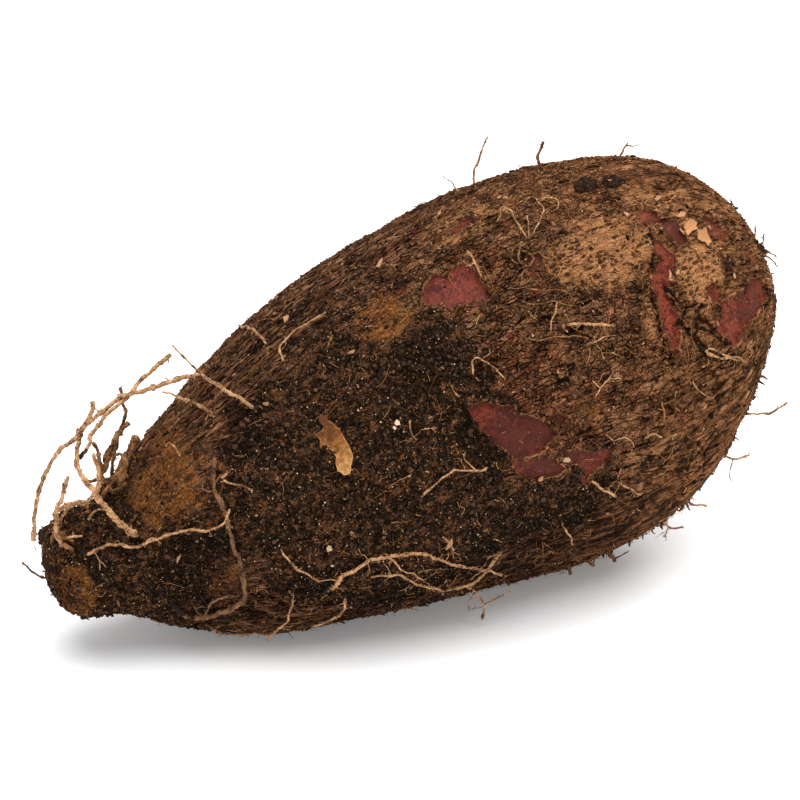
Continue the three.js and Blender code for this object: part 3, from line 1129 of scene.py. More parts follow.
@dataclass(frozen=True)
class BarkFinish:
    """The skin: cracked cork, caked soil, rubbed and netted bark and bare red skin."""

    name: str = "bark"
    # Near-black of cracks, gaps and furrows: dark dirt in them plus painted shade in their depths.
    crack: Colour = (0.0062, 0.0030, 0.0010)
    brown: Colour = (0.086, 0.039, 0.0196)
    warm: Colour = (0.232, 0.106, 0.050)
    pale: Colour = (0.490, 0.265, 0.140)
    lit_gain: Colour = (1.42, 1.32, 1.14)
    soil: Colour = (0.028, 0.0158, 0.0094)
    soil_pale: Colour = (0.120, 0.066, 0.039)
    umber: Colour = (0.170, 0.064, 0.024)
    orange: Colour = (0.380, 0.145, 0.040)
    orange_deep: Colour = (0.135, 0.048, 0.013)
    net_pale: Colour = (0.570, 0.265, 0.110)
    net_deep: Colour = (0.275, 0.110, 0.041)
    net_dark: Colour = (0.048, 0.021, 0.009)
    maroon: Colour = (0.96, 0.66, 0.64)
    aged: Colour = (0.42, 0.40, 0.42)
    freshened: Colour = (1.28, 1.45, 1.35)
    red: Colour = (0.156, 0.0255, 0.0136)
    red_dark: Colour = (0.052, 0.0080, 0.0058)
    red_worn: Colour = (0.300, 0.080, 0.034)
    dusk: Colour = (0.055, 0.0138, 0.0095)
    speck: Colour = (0.500, 0.300, 0.135)

    def _bark(self, bench: Bench, place: Wire, fine: Wire, broad: Wire) -> tuple[Wire, Wire]:
        """Cracked tiles of cork, in ridges where the bark is ridged.

        Args:
            bench: Where the material is made.
            place: Places in mm.
            fine: Fine noise.
            broad: Broad noise.

        Returns:
            The colour, and the relief in mm.
        """
        ridge = bench.value("ridge")
        grain = bench.grain()
        laid = bench.bent(bench.vector("MULTIPLY", grain, (1.0, 1.0, 0.5)), 3.2, 2.6)
        tiles = bench.cells(laid, 1.7, Feature.EDGE)
        own = bench.own(laid, 1.7)
        chips = bench.cells(bench.bent(place, 1.1, 0.9), 0.85, Feature.EDGE)
        swept = bench.bent(bench.vector("MULTIPLY", grain, (1.0, 1.0, 0.2)), 5.0, 1.8)
        grooves = bench.noise(swept, 1.8, 2.5, 0.5)
        seams = bench.noise(swept, 3.2, 2.5, 0.55)
        flat = 1 - ridge
        tiled = tiles.eased(0.0, 0.1)
        split = abs(grooves - 0.5).eased(0.01, 0.055)
        seam = 1 - abs(seams - 0.5).eased(0.005, 0.026)
        worn = (1 - bench.value("fresh") * 0.35) * (1 - bench.value("rub") * 0.7)
        gaps = ((1 - tiled) * flat * 0.8 + (1 - split) * ridge * 0.85 + seam * 0.85) * worn
        tone = (
            0.39
            + ridge * 0.07
            + (own - 0.5) * 0.24 * flat
            + (grooves - 0.5) * 0.6 * ridge
            + (broad - 0.5) * 1.2
            + (fine - 0.5) * (1.7 - ridge * 0.8)
        )
        colour = bench.ramp(
            tone, ((0.04, self.crack), (0.3, self.brown), (0.56, self.warm), (0.92, self.pale))
        )
        # Painted light: the bark's colours are brightened towards the round end.
        bright = bench.vector("MULTIPLY", colour, self.lit_gain)
        colour = bench.mix(bench.value("fresh"), colour, bright)
        reddened = bench.noise(place, 10.0, 3.0, 0.5) + bench.value("dusk") * 0.3
        reddened = reddened.eased(0.46, 0.62)
        reddened = reddened * (0.8 - bench.value("fresh") * 0.5) * (1 - ridge * 0.6)
        colour = bench.mix(reddened, colour, bench.vector("MULTIPLY", colour, self.maroon))
        old = bench.vector("MULTIPLY", colour, self.aged)
        colour = bench.mix(bench.value("core"), colour, old)
        dusty = bench.value("rub") * 0.7 + (fine - 0.5) * 2.0 + (broad - 0.5) * 2.0
        dust = bench.noise(place, 1.1, 5.0, 0.75).eased(0.4, 0.6)
        dust = bench.mix(dust, self.orange_deep, self.orange)
        colour = bench.mix(dusty.eased(0.36, 0.8) * 0.95, colour, dust)
        # Tile gaps, grooves and seams are painted near-black: dirt in them plus painted shade in
        # the hollows.
        colour = bench.mix(gaps.eased(0.0, 0.9), colour, self.crack)
        scaly = (tiled * 0.4 + chips.eased(0.0, 0.2) * 0.2) * flat + split * 0.6 * ridge
        return colour, scaly + fine * 0.5 - seam * 0.4

    def _soil(self, bench: Bench, place: Wire, fine: Wire) -> tuple[Wire, Wire]:
        """Dry crumbs with brown bark showing between them.

        Args:
            bench: Where the material is made.
            place: Places in mm.
            fine: Fine noise.

        Returns:
            The colour, and the relief in mm.
        """
        nudged = bench.bent(place, 1.3, 0.9)
        chunks = bench.cells(nudged, 1.35, Feature.EDGE)
        own = bench.own(nudged, 1.35)
        core = bench.value("core")
        tone = own * 0.35 + (fine - 0.5) * 1.8 + 0.24 - core * 0.06
        colour = bench.ramp(tone, ((0.15, self.crack), (0.45, self.soil), (0.9, self.soil_pale)))
        # The gaps between soil chunks are painted near-black: dark soil plus painted shade between
        # the chunks.
        between = 1 - (chunks + (fine - 0.5) * 0.3).eased(0.03, 0.17)
        shows = bench.noise(place, 3.5, 5.0, 0.75).eased(0.46, 0.6) * (1 - core * 0.65)
        colour = bench.mix(between * 0.9, colour, self.crack)
        colour = bench.mix((shows * (own * 0.35 + between)).eased(0.15, 0.9), colour, self.umber)
        return colour, chunks.eased(0.0, 0.25) * 0.5 + fine * 0.6

    def _netted(self, bench: Bench, fine: Wire, broad: Wire) -> Wire:
        """Pale strands of cork round dark pits.

        Args:
            bench: Where the material is made.
            fine: Fine noise.
            broad: Broad noise.

        Returns:
            The colour.
        """
        grain = bench.grain()
        laid = bench.bent(bench.vector("MULTIPLY", grain, (1.0, 1.0, 0.5)), 2.4, 1.9)
        strands = bench.cells(laid, 1.25, Feature.EDGE)
        own = bench.own(laid, 1.25)
        opened = own + (1 - bench.value("net")) * 0.8 + (broad - 0.5) * 1.6 + 0.14
        pit = (strands + (fine - 0.5) * 0.16).eased(0.04, 0.15) * opened.eased(0.6, 0.82)
        streaks = bench.noise(bench.vector("MULTIPLY", grain, (1.0, 1.0, 0.3)), 0.9, 3.0, 0.6)
        tan = bench.mix((fine * 0.5 + streaks * 0.5).eased(0.38, 0.6), self.net_deep, self.net_pale)
        return bench.mix(pit * 0.92, tan, self.net_dark)

    def _red(self, bench: Bench, place: Wire, fine: Wire) -> Wire:
        """Mottled red skin.

        Args:
            bench: Where the material is made.
            place: Places in mm.
            fine: Fine noise.

        Returns:
            The colour.
        """
        mottle = bench.noise(place, 3.0, 5.0, 0.65) + (fine - 0.5) * 0.9
        red = bench.mix(mottle.eased(0.42, 0.6), self.red, self.red_dark)
        worn = bench.noise(place, 1.3, 4.0, 0.7).eased(0.54, 0.66) * 0.45
        red = bench.mix(worn, red, self.red_worn)
        # Painted light: the red skin is brightened towards the round end.
        bright = bench.vector("MULTIPLY", red, self.freshened)
        red = bench.mix(bench.value("fresh"), red, bright)
        return bench.mix(bench.value("dusk") * 0.72, red, self.dusk)

    def material(self) -> Material:
        """Makes the material."""
        bench = Bench(self.name)
        place = bench.place()
        soil, bare = bench.value("soil"), bench.value("bare")
        net, edge = bench.value("net"), bench.value("edge")
        fine = bench.noise(place, 0.6, 4.0, 0.65)
        broad = bench.noise(place, 7.0, 4.0, 0.6)
        skin, bark_height = self._bark(bench, place, fine, broad)
        caked, soil_height = self._soil(bench, place, fine)
        stray = (fine - 0.5) * 1.2
        patchy = (broad - 0.5) * 0.8
        skin = bench.mix((soil + stray * 0.7 + patchy * 0.5).eased(0.3, 0.7), skin, caked)
        netted = self._netted(bench, fine, broad)
        skin = bench.mix((net + stray * 0.8 + patchy * 1.3).eased(0.16, 0.86) * 0.95, skin, netted)
        skin = bench.mix(bare, skin, self._red(bench, place, fine))
        # A pale fringe along each bare patch: pale cork of the broken edge, with a painted
        # highlight on the lifted lip.
        rim = edge.eased(-0.28, -0.1) * (1 - edge.eased(-0.1, 0.04)) * broad.eased(0.42, 0.56)
        skin = bench.mix(rim * 0.8, skin, self.net_pale)
        specks = bench.cells(place, 1.15, Feature.MIDDLE)
        chosen = bench.own(place, 1.15).eased(0.5, 0.55)
        skin = bench.mix((1 - specks.eased(0.06, 0.14)) * chosen * 0.85, skin, self.speck)
        # Furrows and the valleys between ridges are painted near-black: painted shade in grooves
        # that the mesh also sinks.
        crack = bench.value("crack") + (fine - 0.5) * 0.8
        skin = bench.mix(crack.eased(0.22, 0.95) * 0.88, skin, self.crack)
        rough_height = bark_height * 1.4 * (1 - soil) + soil_height * 1.3 * soil
        height = rough_height * (1 - bare) + broad * 0.25 * bare
        return bench.finish(
            skin, 0.93 - bare * 0.33, height, Specular_IOR_Level=0.03, Coat_Weight=bare * 0.14,
            Coat_Roughness=0.42,
        )


@dataclass(frozen=True)
class RootFinish:
    """Dry root, pale where it is newly grown, with dark blotches and specks of soil."""

    name: str
    pale: Colour
    middle: Colour
    dark: Colour
    dirt: float
    earth: Colour = (0.018, 0.011, 0.007)

    def material(self) -> Material:
        """Makes the material."""
        bench = Bench(self.name)
        place = bench.place()
        blotch = bench.noise(place, 3.5, 4.0, 0.65)
        fine = bench.noise(place, 0.5, 4.0, 0.6)
        tone = blotch + (fine - 0.5) * 0.9
        colour = bench.ramp(tone, ((0.3, self.dark), (0.48, self.middle), (0.68, self.pale)))
        dirt = bench.noise(place, 2.0, 5.0, 0.7) + bench.value("dirt") * 0.5
        dirt = dirt.eased(0.72 - self.dirt * 0.2, 0.84 - self.dirt * 0.2)
        colour = bench.mix(dirt, colour, self.earth)
        height = fine * 0.22 + blotch * 0.15
        return bench.finish(colour, 0.7, height, Specular_IOR_Level=0.06)


@dataclass(frozen=True)
class TonedFinish:
    """Many small pieces, each with a tone of its own between a dark and a pale colour."""

    name: str
    stops: tuple[tuple[float, Colour], ...]
    roughness: float
    relief: float

    def material(self) -> Material:
        """Makes the material."""
        bench = Bench(self.name)
        place = bench.place()
        fine = bench.noise(place, 0.6, 3.0)
        tone = bench.value("tone") + (fine - 0.5) * 0.35
        colour = bench.ramp(tone, self.stops)
        # Painted light: the pieces are brightened towards the round end, as the bark is.
        bright = bench.vector("MULTIPLY", colour, BarkFinish.lit_gain)
        colour = bench.mix(bench.value("fresh"), colour, bright)
        return bench.finish(colour, self.roughness, fine * self.relief, Specular_IOR_Level=0.03)


@dataclass(frozen=True)
class LeafFinish:
    """Dry brown leaf with blotches, edges painted paler as a highlight, and a faint sheen."""

    name: str = "dead_leaf"
    pale: Colour = (0.520, 0.270, 0.100)
    middle: Colour = (0.280, 0.108, 0.026)
    dark: Colour = (0.110, 0.036, 0.009)

    def material(self) -> Material:
        """Makes the material."""
        bench = Bench(self.name)
        place = bench.place()
        rib = bench.value("rib")
        blotch = bench.noise(place, 1.8, 4.0, 0.6)
        fine = bench.noise(place, 0.7, 3.0)
        tone = blotch * 0.9 - 0.1 + (fine - 0.5) * 0.3 - rib * 0.07
        # The border is painted paler: a painted highlight along the curled rim.
        tone = tone + (bench.value("tone") - 0.5) * 1.2 + bench.value("rim") * 0.3
        colour = bench.ramp(tone, ((0.2, self.dark), (0.42, self.middle), (0.72, self.pale)))
        height = blotch * 1.2 + fine * 0.2
        return bench.finish(colour, 0.5, height, Specular_IOR_Level=0.12)


@dataclass(frozen=True)
class FloorFinish:
    """Plain pale floor, lit a little from below."""

    colour: Colour = (0.92, 0.92, 0.92)
    glow: float = 0.15

    def material(self) -> Material:
        """Makes the material."""
        return Bench("floor").finish(
            self.colour, 0.95, None, Specular_IOR_Level=0.0, Emission_Color=(1.0, 1.0, 1.0, 1.0),
            Emission_Strength=self.glow,
        )


PALE_ROOT = RootFinish(
    "pale_root", (0.660, 0.375, 0.185), (0.340, 0.174, 0.080), (0.055, 0.025, 0.011), 0.2
)
DARK_ROOT = RootFinish(
    "dark_root", (0.270, 0.138, 0.070), (0.130, 0.062, 0.030), (0.024, 0.0125, 0.0065), 0.45
)
BROWN_ROOT = RootFinish(
    "brown_root", (0.360, 0.175, 0.070), (0.165, 0.074, 0.028), (0.028, 0.013, 0.006), 0.35
)
# The near-white end of this ramp is pale grit with painted glints on it.
SOIL_CRUMB = TonedFinish(
    "soil",
    (
        (0.0, (0.008, 0.0042, 0.0018)), (0.4, (0.025, 0.0142, 0.0086)),
        (0.62, (0.065, 0.036, 0.022)), (0.8, (0.110, 0.048, 0.019)), (0.9, (0.300, 0.165, 0.078)),
        (1.0, (0.700, 0.540, 0.360)),
    ),
    0.9,
    0.25,
)
BARK_SCALE = TonedFinish(
    "bark_scale",
    (
        (0.0, (0.012, 0.0062, 0.0030)), (0.3, (0.062, 0.0290, 0.0150)),
        (0.6, (0.165, 0.077, 0.037)), (1.0, (0.430, 0.230, 0.118)),
    ),
    0.88,
    0.3,
)
HAIR = TonedFinish(
    "fine_rootlet",
    (
        (0.0, (0.030, 0.014, 0.006)), (0.4, (0.155, 0.062, 0.021)), (0.75, (0.410, 0.190, 0.066)),
        (1.0, (0.560, 0.330, 0.150)),
    ),
    0.75,
    0.1,
)
FLAKE = TonedFinish(
    "bark_flake",
    ((0.0, (0.150, 0.072, 0.032)), (0.5, (0.380, 0.200, 0.104)), (1.0, (0.700, 0.520, 0.330))), 0.7,
    0.12,
)


def octahedra(
    centres: Array, outward: Array, size: Array, random: Draws
) -> tuple[Array, list[Array]]:
    """Rough little blocks, flattened a little against the skin.

    Args:
        centres: Their middles, in mm.
        outward: Out of the skin, at each.
        size: About half their width, in mm.
        random: Draws their shapes.

    Returns:
        The points, six to a block, and groups of faces.
    """
    count = len(centres)
    poles = np.concatenate([np.eye(3), -np.eye(3)])
    body = poles[None] * (1 + 0.35 * random.uniform(-1, 1, (count, 6, 1)))
    body = body + 0.25 * random.uniform(-1, 1, (count, 6, 3))
    side = unit(np.cross(unit(random.normal(size=(count, 3))), outward))
    basis = np.stack([side, np.cross(outward, side), outward * 0.8], axis=1)
    points = centres[:, None] + (body * size[:, None, None]) @ basis
    ends = itertools.product((0, 3), (1, 4), (2, 5))
    sides = np.array([c if sum(k > 2 for k in c) % 2 == 0 else c[::-1] for c in ends])
    faces = sides[None] + (np.arange(count) * 6)[:, None, None]
    return points.reshape(-1, 3), [faces.reshape(-1, 3)]


def plates(
    middle: Array, first: Array, second: Array, flat: tuple[Array, Array], rise: Array,
    thickness: float, sunk: float,
) -> tuple[Array, list[Array]]:
    """Irregular flat plates with a crown a little above their corners.

    Args:
        middle: Their middles, in mm.
        first: The direction of each one's x.
        second: The direction of each one's y.
        flat: x and y of the corners, plates by corners, in mm.
        rise: How far each corner is lifted.
        thickness: mm from the middle to the upper side.
        sunk: mm that the lower side reaches into the skin.

    Returns:
        The points, two for each corner and one for the crown, and groups of faces.
    """
    x, y = flat
    count, n = x.shape
    facing = np.cross(first, second)
    top = (
        middle[:, None]
        + first[:, None] * x[:, :, None]
        + second[:, None] * y[:, :, None]
        + facing[:, None] * (rise + thickness)[:, :, None]
    )
    low = top - facing[:, None] * (thickness + sunk)
    crown = middle + facing * (thickness * 1.1 + 0.4 * rise.mean(axis=1, keepdims=True))
    points = np.concatenate([top, low, crown[:, None]], axis=1).reshape(-1, 3)
    i = np.arange(n)
    j = (i + 1) % n
    cap = np.stack([i, j, np.full(n, 2 * n)], axis=1)
    wall = np.stack([i, i + n, j + n, j], axis=1)
    base = np.arange(2 * n - 1, n - 1, -1)[None]
    offsets = (np.arange(count) * (2 * n + 1))[:, None, None]
    return points, [(g[None] + offsets).reshape(-1, g.shape[1]) for g in (cap, wall, base)]


@dataclass
class TuberSkin:
    """The tuber's rough skin, one mesh that is finer where a bare patch ends.

    Attributes:
        skin_map: What lies where on it.
        rows: Rings between the neck's tip and the round end.
        columns: Points in the widest rings, a whole number of times `coarsest`.
        coarsest: How many of those columns the smallest rings skip.
        ring_step: mm between a ring's points that is still fine enough.
        finest: Degrees around where the columns lie closest together.
        gathered: Degrees that the columns are drawn towards there, at most.
        refine_rounds: How often the edges of bare patches are halved.
        refine_within: mm from such an edge that is refined, in the first round.
    """

    skin_map: SkinMap
    rows: int = 300
    columns: int = 320
    coarsest: int = 16
    ring_step: float = 0.95
    finest: float = 52.0
    gathered: float = 27.0
    refine_rounds: int = 2
    refine_within: float = 1.6

    def _columns(self) -> Array:
        """The columns' places around, closest together about `finest`."""
        even = np.linspace(-180, 180, self.columns, endpoint=False)
        return even - self.gathered * np.sin(np.radians(even - self.finest))

    def _rings(self) -> tuple[Array, list[Array]]:
        """Rings of points, each with its turn and its place round a circle, and faces between.

        Returns:
            Rows of turn, sine and cosine, and groups of faces.
        """
        form = self.skin_map.form
        around = np.radians(self._columns())
        turns = np.linspace(0, np.pi, self.rows + 2)[1:-1]
        rings: list[Array] = []
        flat: list[Array] = [np.array([[0.0, 0.0, 0.0]])]
        count = 1
        for turn in turns:
            along = np.full(8, form.along_at(turn))
            spots = form.point(along, np.arange(8) * 45.0)
            girth = np.linalg.norm(spots - np.roll(spots, 1, axis=0), axis=1).sum() * 1.03
            skip = self.coarsest
            while skip > 1 and girth / (self.columns / skip) > self.ring_step * 1.45:
                skip //= 2
            picked = around[::skip]
            columns = [np.full(len(picked), turn), np.sin(picked), np.cos(picked)]
            flat.append(np.stack(columns, axis=1))
            rings.append(np.arange(len(picked)) + count)
            count += len(picked)
        flat.append(np.array([[np.pi, 0.0, 0.0]]))
        faces = [self._cap(0, rings[0])]
        for near, far in zip(rings, rings[1:]):
            faces.extend(self._band(near, far))
        faces.append(self._cap(count, rings[-1])[:, ::-1])
        return np.concatenate(flat), faces

    def _cap(self, pole: int, ring: Array) -> Array:
        """Triangles from a pole to its ring."""
        return np.stack([np.full(len(ring), pole), ring, np.roll(ring, -1)], axis=1)

    def _band(self, near: Array, far: Array) -> list[Array]:
        """Faces between two rings, of which one may have a whole number of times more points.

        Args:
            near: The points of the ring nearer the neck.
            far: The points of the other.

        Returns:
            Groups of faces.
        """
        if len(near) == len(far):
            return [np.stack([near, far, np.roll(far, -1), np.roll(near, -1)], axis=1)]
        flip = len(near) > len(far)
        few, many = (far, near) if flip else (near, far)
        times = len(many) // len(few)
        groups = many.reshape(-1, times)
        following = np.roll(few, -1)
        rows = np.concatenate([groups, np.roll(groups, -1, axis=0)[:, :1]], axis=1)
        half = times // 2
        parts = [
            np.stack([few if k < half else following, rows[:, k], rows[:, k + 1]], axis=1)
            for k in range(times)
        ]
        parts.append(np.stack([few, rows[:, half], following], axis=1))
        triangles = np.concatenate(parts)
        return [triangles[:, ::-1] if flip else triangles]

    def _natural(self, flat: Array) -> tuple[Array, Array]:
        """Natural coordinates of rows of turn, sine and cosine."""
        around = np.degrees(np.arctan2(flat[:, 1], flat[:, 2]))
        return self.skin_map.form.along_at(flat[:, 0]), around

    def _refined(self, flat: Array, faces: list[Array]) -> tuple[Array, list[Array]]:
        """Halves the mesh near the edges of bare patches.

        Args:
            flat: Rows of turn, sine and cosine.
            faces: Groups of faces.

        Returns:
            The finer rows and faces.
        """
        mesh = bpy.data.meshes.new("rings")
        mesh.from_pydata(flat.tolist(), [], [f for group in faces for f in group.tolist()])
        work = bmesh.new()
        work.from_mesh(mesh)
        bpy.data.meshes.remove(mesh)
        within = self.refine_within
        for _ in range(self.refine_rounds):
            rows = np.array([v.co[:] for v in work.verts])
            along, around = self._natural(rows)
            smooth = self.skin_map.form.point(along, around)
            edge, _ = self.skin_map.edge(smooth, along, around)
            near = np.abs(edge + 0.1) < within
            near |= self.skin_map.furrowed(smooth, along, around) < within * 1.1
            work.edges.ensure_lookup_table()
            ends = np.array([[e.verts[0].index, e.verts[1].index] for e in work.edges])
            chosen = np.nonzero(near[ends].all(axis=1))[0]
            edges = [work.edges[i] for i in chosen]
            bmesh.ops.subdivide_edges(work, edges=edges, cuts=1, use_grid_fill=True)
            work.verts.index_update()
            within *= 0.55
        rows = np.array([v.co[:] for v in work.verts])
        bmesh.ops.triangulate(work, faces=[f for f in work.faces if len(f.verts) > 4])
        corners = [[v.index for v in f.verts] for f in work.faces]
        work.free()
        return rows, [np.array([c for c in corners if len(c) == size]) for size in (3, 4)]

    def build(self) -> Made:
        """Makes the skin, in place of the tuber's smooth solid."""
        flat, faces = self._refined(*self._rings())
        along, around = self._natural(flat)
        seen = self.skin_map.survey(along, around)
        points = seen.points()
        points[:, 2] = np.maximum(points[:, 2], 0.0)
        shape = Shape()
        shape.add(points, faces, **seen.looks())
        return settle(shape.piece("tuber_skin", BarkFinish().material()), ["tuber"])


def beside(vectors: Array, axis: Array) -> Array:
    """The parts of vectors that lie square to an axis, at length 1."""
    return unit(vectors - axis * (vectors * axis).sum(axis=1, keepdims=True))


@dataclass
class Scattered:
    """Small things on the skin, each placed or shaped by random draws.

    Attributes:
        skin_map: What lies where on the skin.
        seed: Tells one draw from another.
        tries: How many places are drawn, before some are passed over.
        corners: How many corners each small plate has.
    """

    skin_map: SkinMap
    seed: int = 0
    tries: int = 0
    corners: int = 5

    def __post_init__(self) -> None:
        """Starts the random draws."""
        self.random = np.random.default_rng(self.seed)

    def _places(self, count: int) -> tuple[Array, Array]:
        """Draws places evenly over the skin.

        Args:
            count: How many.

        Returns:
            mm along and degrees around.
        """
        form = self.skin_map.form
        tries = count * 4
        turn = self.random.uniform(0.05, np.pi - 0.05, tries)
        around = self.random.uniform(-180, 180, tries)
        along = form.along_at(turn)
        ahead = form.point(form.along_at(turn + 0.01), around) - form.point(along, around)
        aside = form.point(along, around + 0.5) - form.point(along, around)
        area = np.linalg.norm(np.cross(ahead, aside), axis=1)
        kept = self.random.uniform(0, 1, tries) < area / area.max()
        return along[kept][:count], around[kept][:count]

    def _kept(self, chance: Array) -> Array:
        """Draws whether each place is kept, by its chance."""
        return self.random.uniform(0, 1, len(chance)) < chance

    def _uneven(self, count: int, ragged: float) -> tuple[Array, Array]:
        """Draws uneven polygons of about radius 1, as x and y of their corners."""
        angle = np.linspace(0, 2 * np.pi, self.corners, endpoint=False)
        spread = 1 + ragged * self.random.uniform(-1, 1, (count, self.corners))
        return np.cos(angle) * spread, np.sin(angle) * spread

    def _laid(
        self, along: Array, around: Array, heading: Array, tip: float, tilt: float
    ) -> tuple[Array, Array]:
        """Draws the directions of plates that lie on the skin.

        Args:
            along: mm from the neck's tip.
            around: Degrees from the top towards the front.
            heading: Radians that each plate's x is turned from lengthwise.
            tip: How far x leaves the skin.
            tilt: How far a plate leans.

        Returns:
            The directions of x and of y.
        """
        form = self.skin_map.form
        outward, turn = form.outward(along, around), heading[:, None]
        forward = beside(form.point(along + 0.5, around) - form.point(along, around), outward)
        first = forward * np.cos(turn) + np.cross(outward, forward) * np.sin(turn)
        first = unit(first + outward * self.random.normal(0, tip, turn.shape))
        facing = unit(outward + tilt * self.random.normal(size=outward.shape))
        return first, unit(np.cross(facing, first))

    def _settled(
        self, name: str, made: tuple[Array, list[Array]], finish: "TonedFinish", slot: str,
        **values: Array,
    ) -> Made:
        """Joins many small things into one flat-sided piece that stays above the floor.

        Args:
            name: The piece's name.
            made: Points and groups of faces, as many points for each thing.
            finish: Its finish.
            slot: Not used.
            values: One number for each thing, by name.

        Returns:
            The object.
        """
        points, faces = made
        points[:, 2] = np.maximum(points[:, 2], FLOOR_GAP)
        shape = Shape()
        each = {key: np.repeat(row, len(points) // len(row)) for key, row in values.items()}
        shape.add(points, faces, **each)
        return settle(shape.piece(name, finish.material(), False))


@dataclass
class SoilCrust(Scattered):
    """Crumbs of soil and grit stuck all over the skin."""

    seed: int = 21
    tries: int = 50000

    def build(self) -> Made:
        """Makes the crumbs, as one piece."""
        random = self.random
        seen = self.skin_map.survey(*self._places(self.tries))
        chance = 0.14 + 0.8 * seen.soil + 0.1 * seen.ridge - 0.08 * seen.net
        chance = np.where(seen.bare > 0.2, 0.05, chance) + 0.25 * seen.rub
        seen = seen.picked(self._kept(chance) & (seen.points()[:, 2] > 1.2))
        count = len(seen.soil)
        size = 0.2 + 0.3 * random.uniform(0, 1, count) ** 2
        size = size + 0.2 * seen.soil * random.uniform(0, 1, count) ** 2
        tone = 0.08 + 0.36 * random.uniform(0, 1, count) + 0.1 * (1 - seen.soil)
        brown = self._kept(0.32 - 0.16 * seen.core + 0.6 * seen.rub)
        tone = np.where(brown, random.uniform(0.58, 0.86, count), tone)
        # About a quarter of the crumbs are pale, near white: pale grit, with painted glints on it.
        pale = random.uniform(0, 1, count) < 0.27
        tone = np.where(pale, random.uniform(0.84, 1.0, count), tone)
        size = np.where(pale, size * 0.5, size)
        size = np.where(random.uniform(0, 1, count) < 0.02, size * 1.8, size)
        crumbs = octahedra(seen.points(size * 0.25), seen.outward, size, random)
        return self._settled(
            "soil_crust", crumbs, SOIL_CRUMB, "soil", tone=tone, fresh=seen.fresh * 0.6
        )


@dataclass
class SoilFlakes(Scattered):
    """Flat dark chunks of dried soil, thickest where it is black."""

    seed: int = 26
    tries: int = 26000

    def build(self) -> Made:
        """Makes the chunks, as one piece."""
        random = self.random
        seen = self.skin_map.survey(*self._places(self.tries))
        chance = 0.04 + 0.62 * seen.soil + 0.25 * seen.soil * seen.core
        chance = np.where((seen.edge > -0.8) | (seen.points()[:, 2] < 2.0), 0.0, chance)
        seen = seen.picked(self._kept(chance))
        count = len(seen.soil)
        facing = unit(seen.outward + 0.2 * random.normal(size=(count, 3)))
        first = unit(np.cross(unit(random.normal(size=(count, 3))), facing))
        x, y = self._uneven(count, 0.35)
        size = 0.28 + 0.6 * random.uniform(0, 1, (count, 1)) ** 1.8
        flat = x * size, y * size * random.uniform(0.55, 0.95, (count, 1))
        rise = 0.12 * random.uniform(-1, 1, (count, self.corners))
        chunks = plates(seen.points(0.12), first, np.cross(facing, first), flat, rise, 0.3, 0.4)
        tone = 0.36 + random.normal(0, 0.15, count) - 0.06 * seen.core
        tone = np.where(self._kept(0.16 - 0.12 * seen.core), 0.66, tone)
        return self._settled("soil_flakes", chunks, SOIL_CRUMB, "soil", tone=np.clip(tone, 0.02, 1))


@dataclass
class BarkScales(Scattered):
    """Loose scales of bark that overlap all over the skin."""

    seed: int = 31
    tries: int = 14500

    def build(self) -> Made:
        """Makes the scales, as one piece."""
        random = self.random
        along, around = self._places(self.tries)
        seen = self.skin_map.survey(along, around)
        chance = 0.85 - 0.6 * seen.soil - 0.5 * seen.net - 0.35 * seen.rub
        chance = chance - 0.2 * seen.ridge - 0.2 * seen.fresh - 0.45 * seen.fresh * seen.ridge
        chance = np.where(seen.edge > -0.35, 0.0, chance - 0.6 * seen.crack)
        kept = self._kept(np.where(seen.points()[:, 2] > 1.5, chance, 0.0))
        seen = seen.picked(kept)
        count = len(seen.soil)
        heading = random.normal(0, 1, count) * (0.9 - 0.6 * seen.ridge)
        first, second = self._laid(along[kept], around[kept], heading, 0.13, 0.12)
        # About one scale in seven is small and pale: pale bark flecks that also stand in for
        # painted highlights on lit scale edges.
        highlight_fleck = random.uniform(0, 1, count) < 0.14
        reach = np.where(highlight_fleck, 0.5, 1.0)
        length = random.uniform(0.4, 1.15, count) * (1 + 0.5 * seen.ridge) * reach
        width = random.uniform(0.25, 0.65, count) * reach
        x, y = self._uneven(count, 0.35)
        x, y = x * length[:, None], y * width[:, None]
        curl = 0.25 * random.uniform(-0.4, 1, (count, 1)) * (x * x + y * y)
        middle = seen.points(0.1)
        scales = plates(middle, first, second, (x, y), curl, 0.13, 0.3)
        tone = 0.34 + 0.26 * Noise(33).layered(middle, 18.0, 2) + random.normal(0, 0.1, count)
        tone = tone + 0.14 * seen.net + 0.1 * seen.rub - 0.2 * seen.soil
        tone = np.clip(np.where(highlight_fleck, random.uniform(0.75, 1.0, count), tone), 0, 1)
        return self._settled("bark_scales", scales, BARK_SCALE, "bark", tone=tone, fresh=seen.fresh)


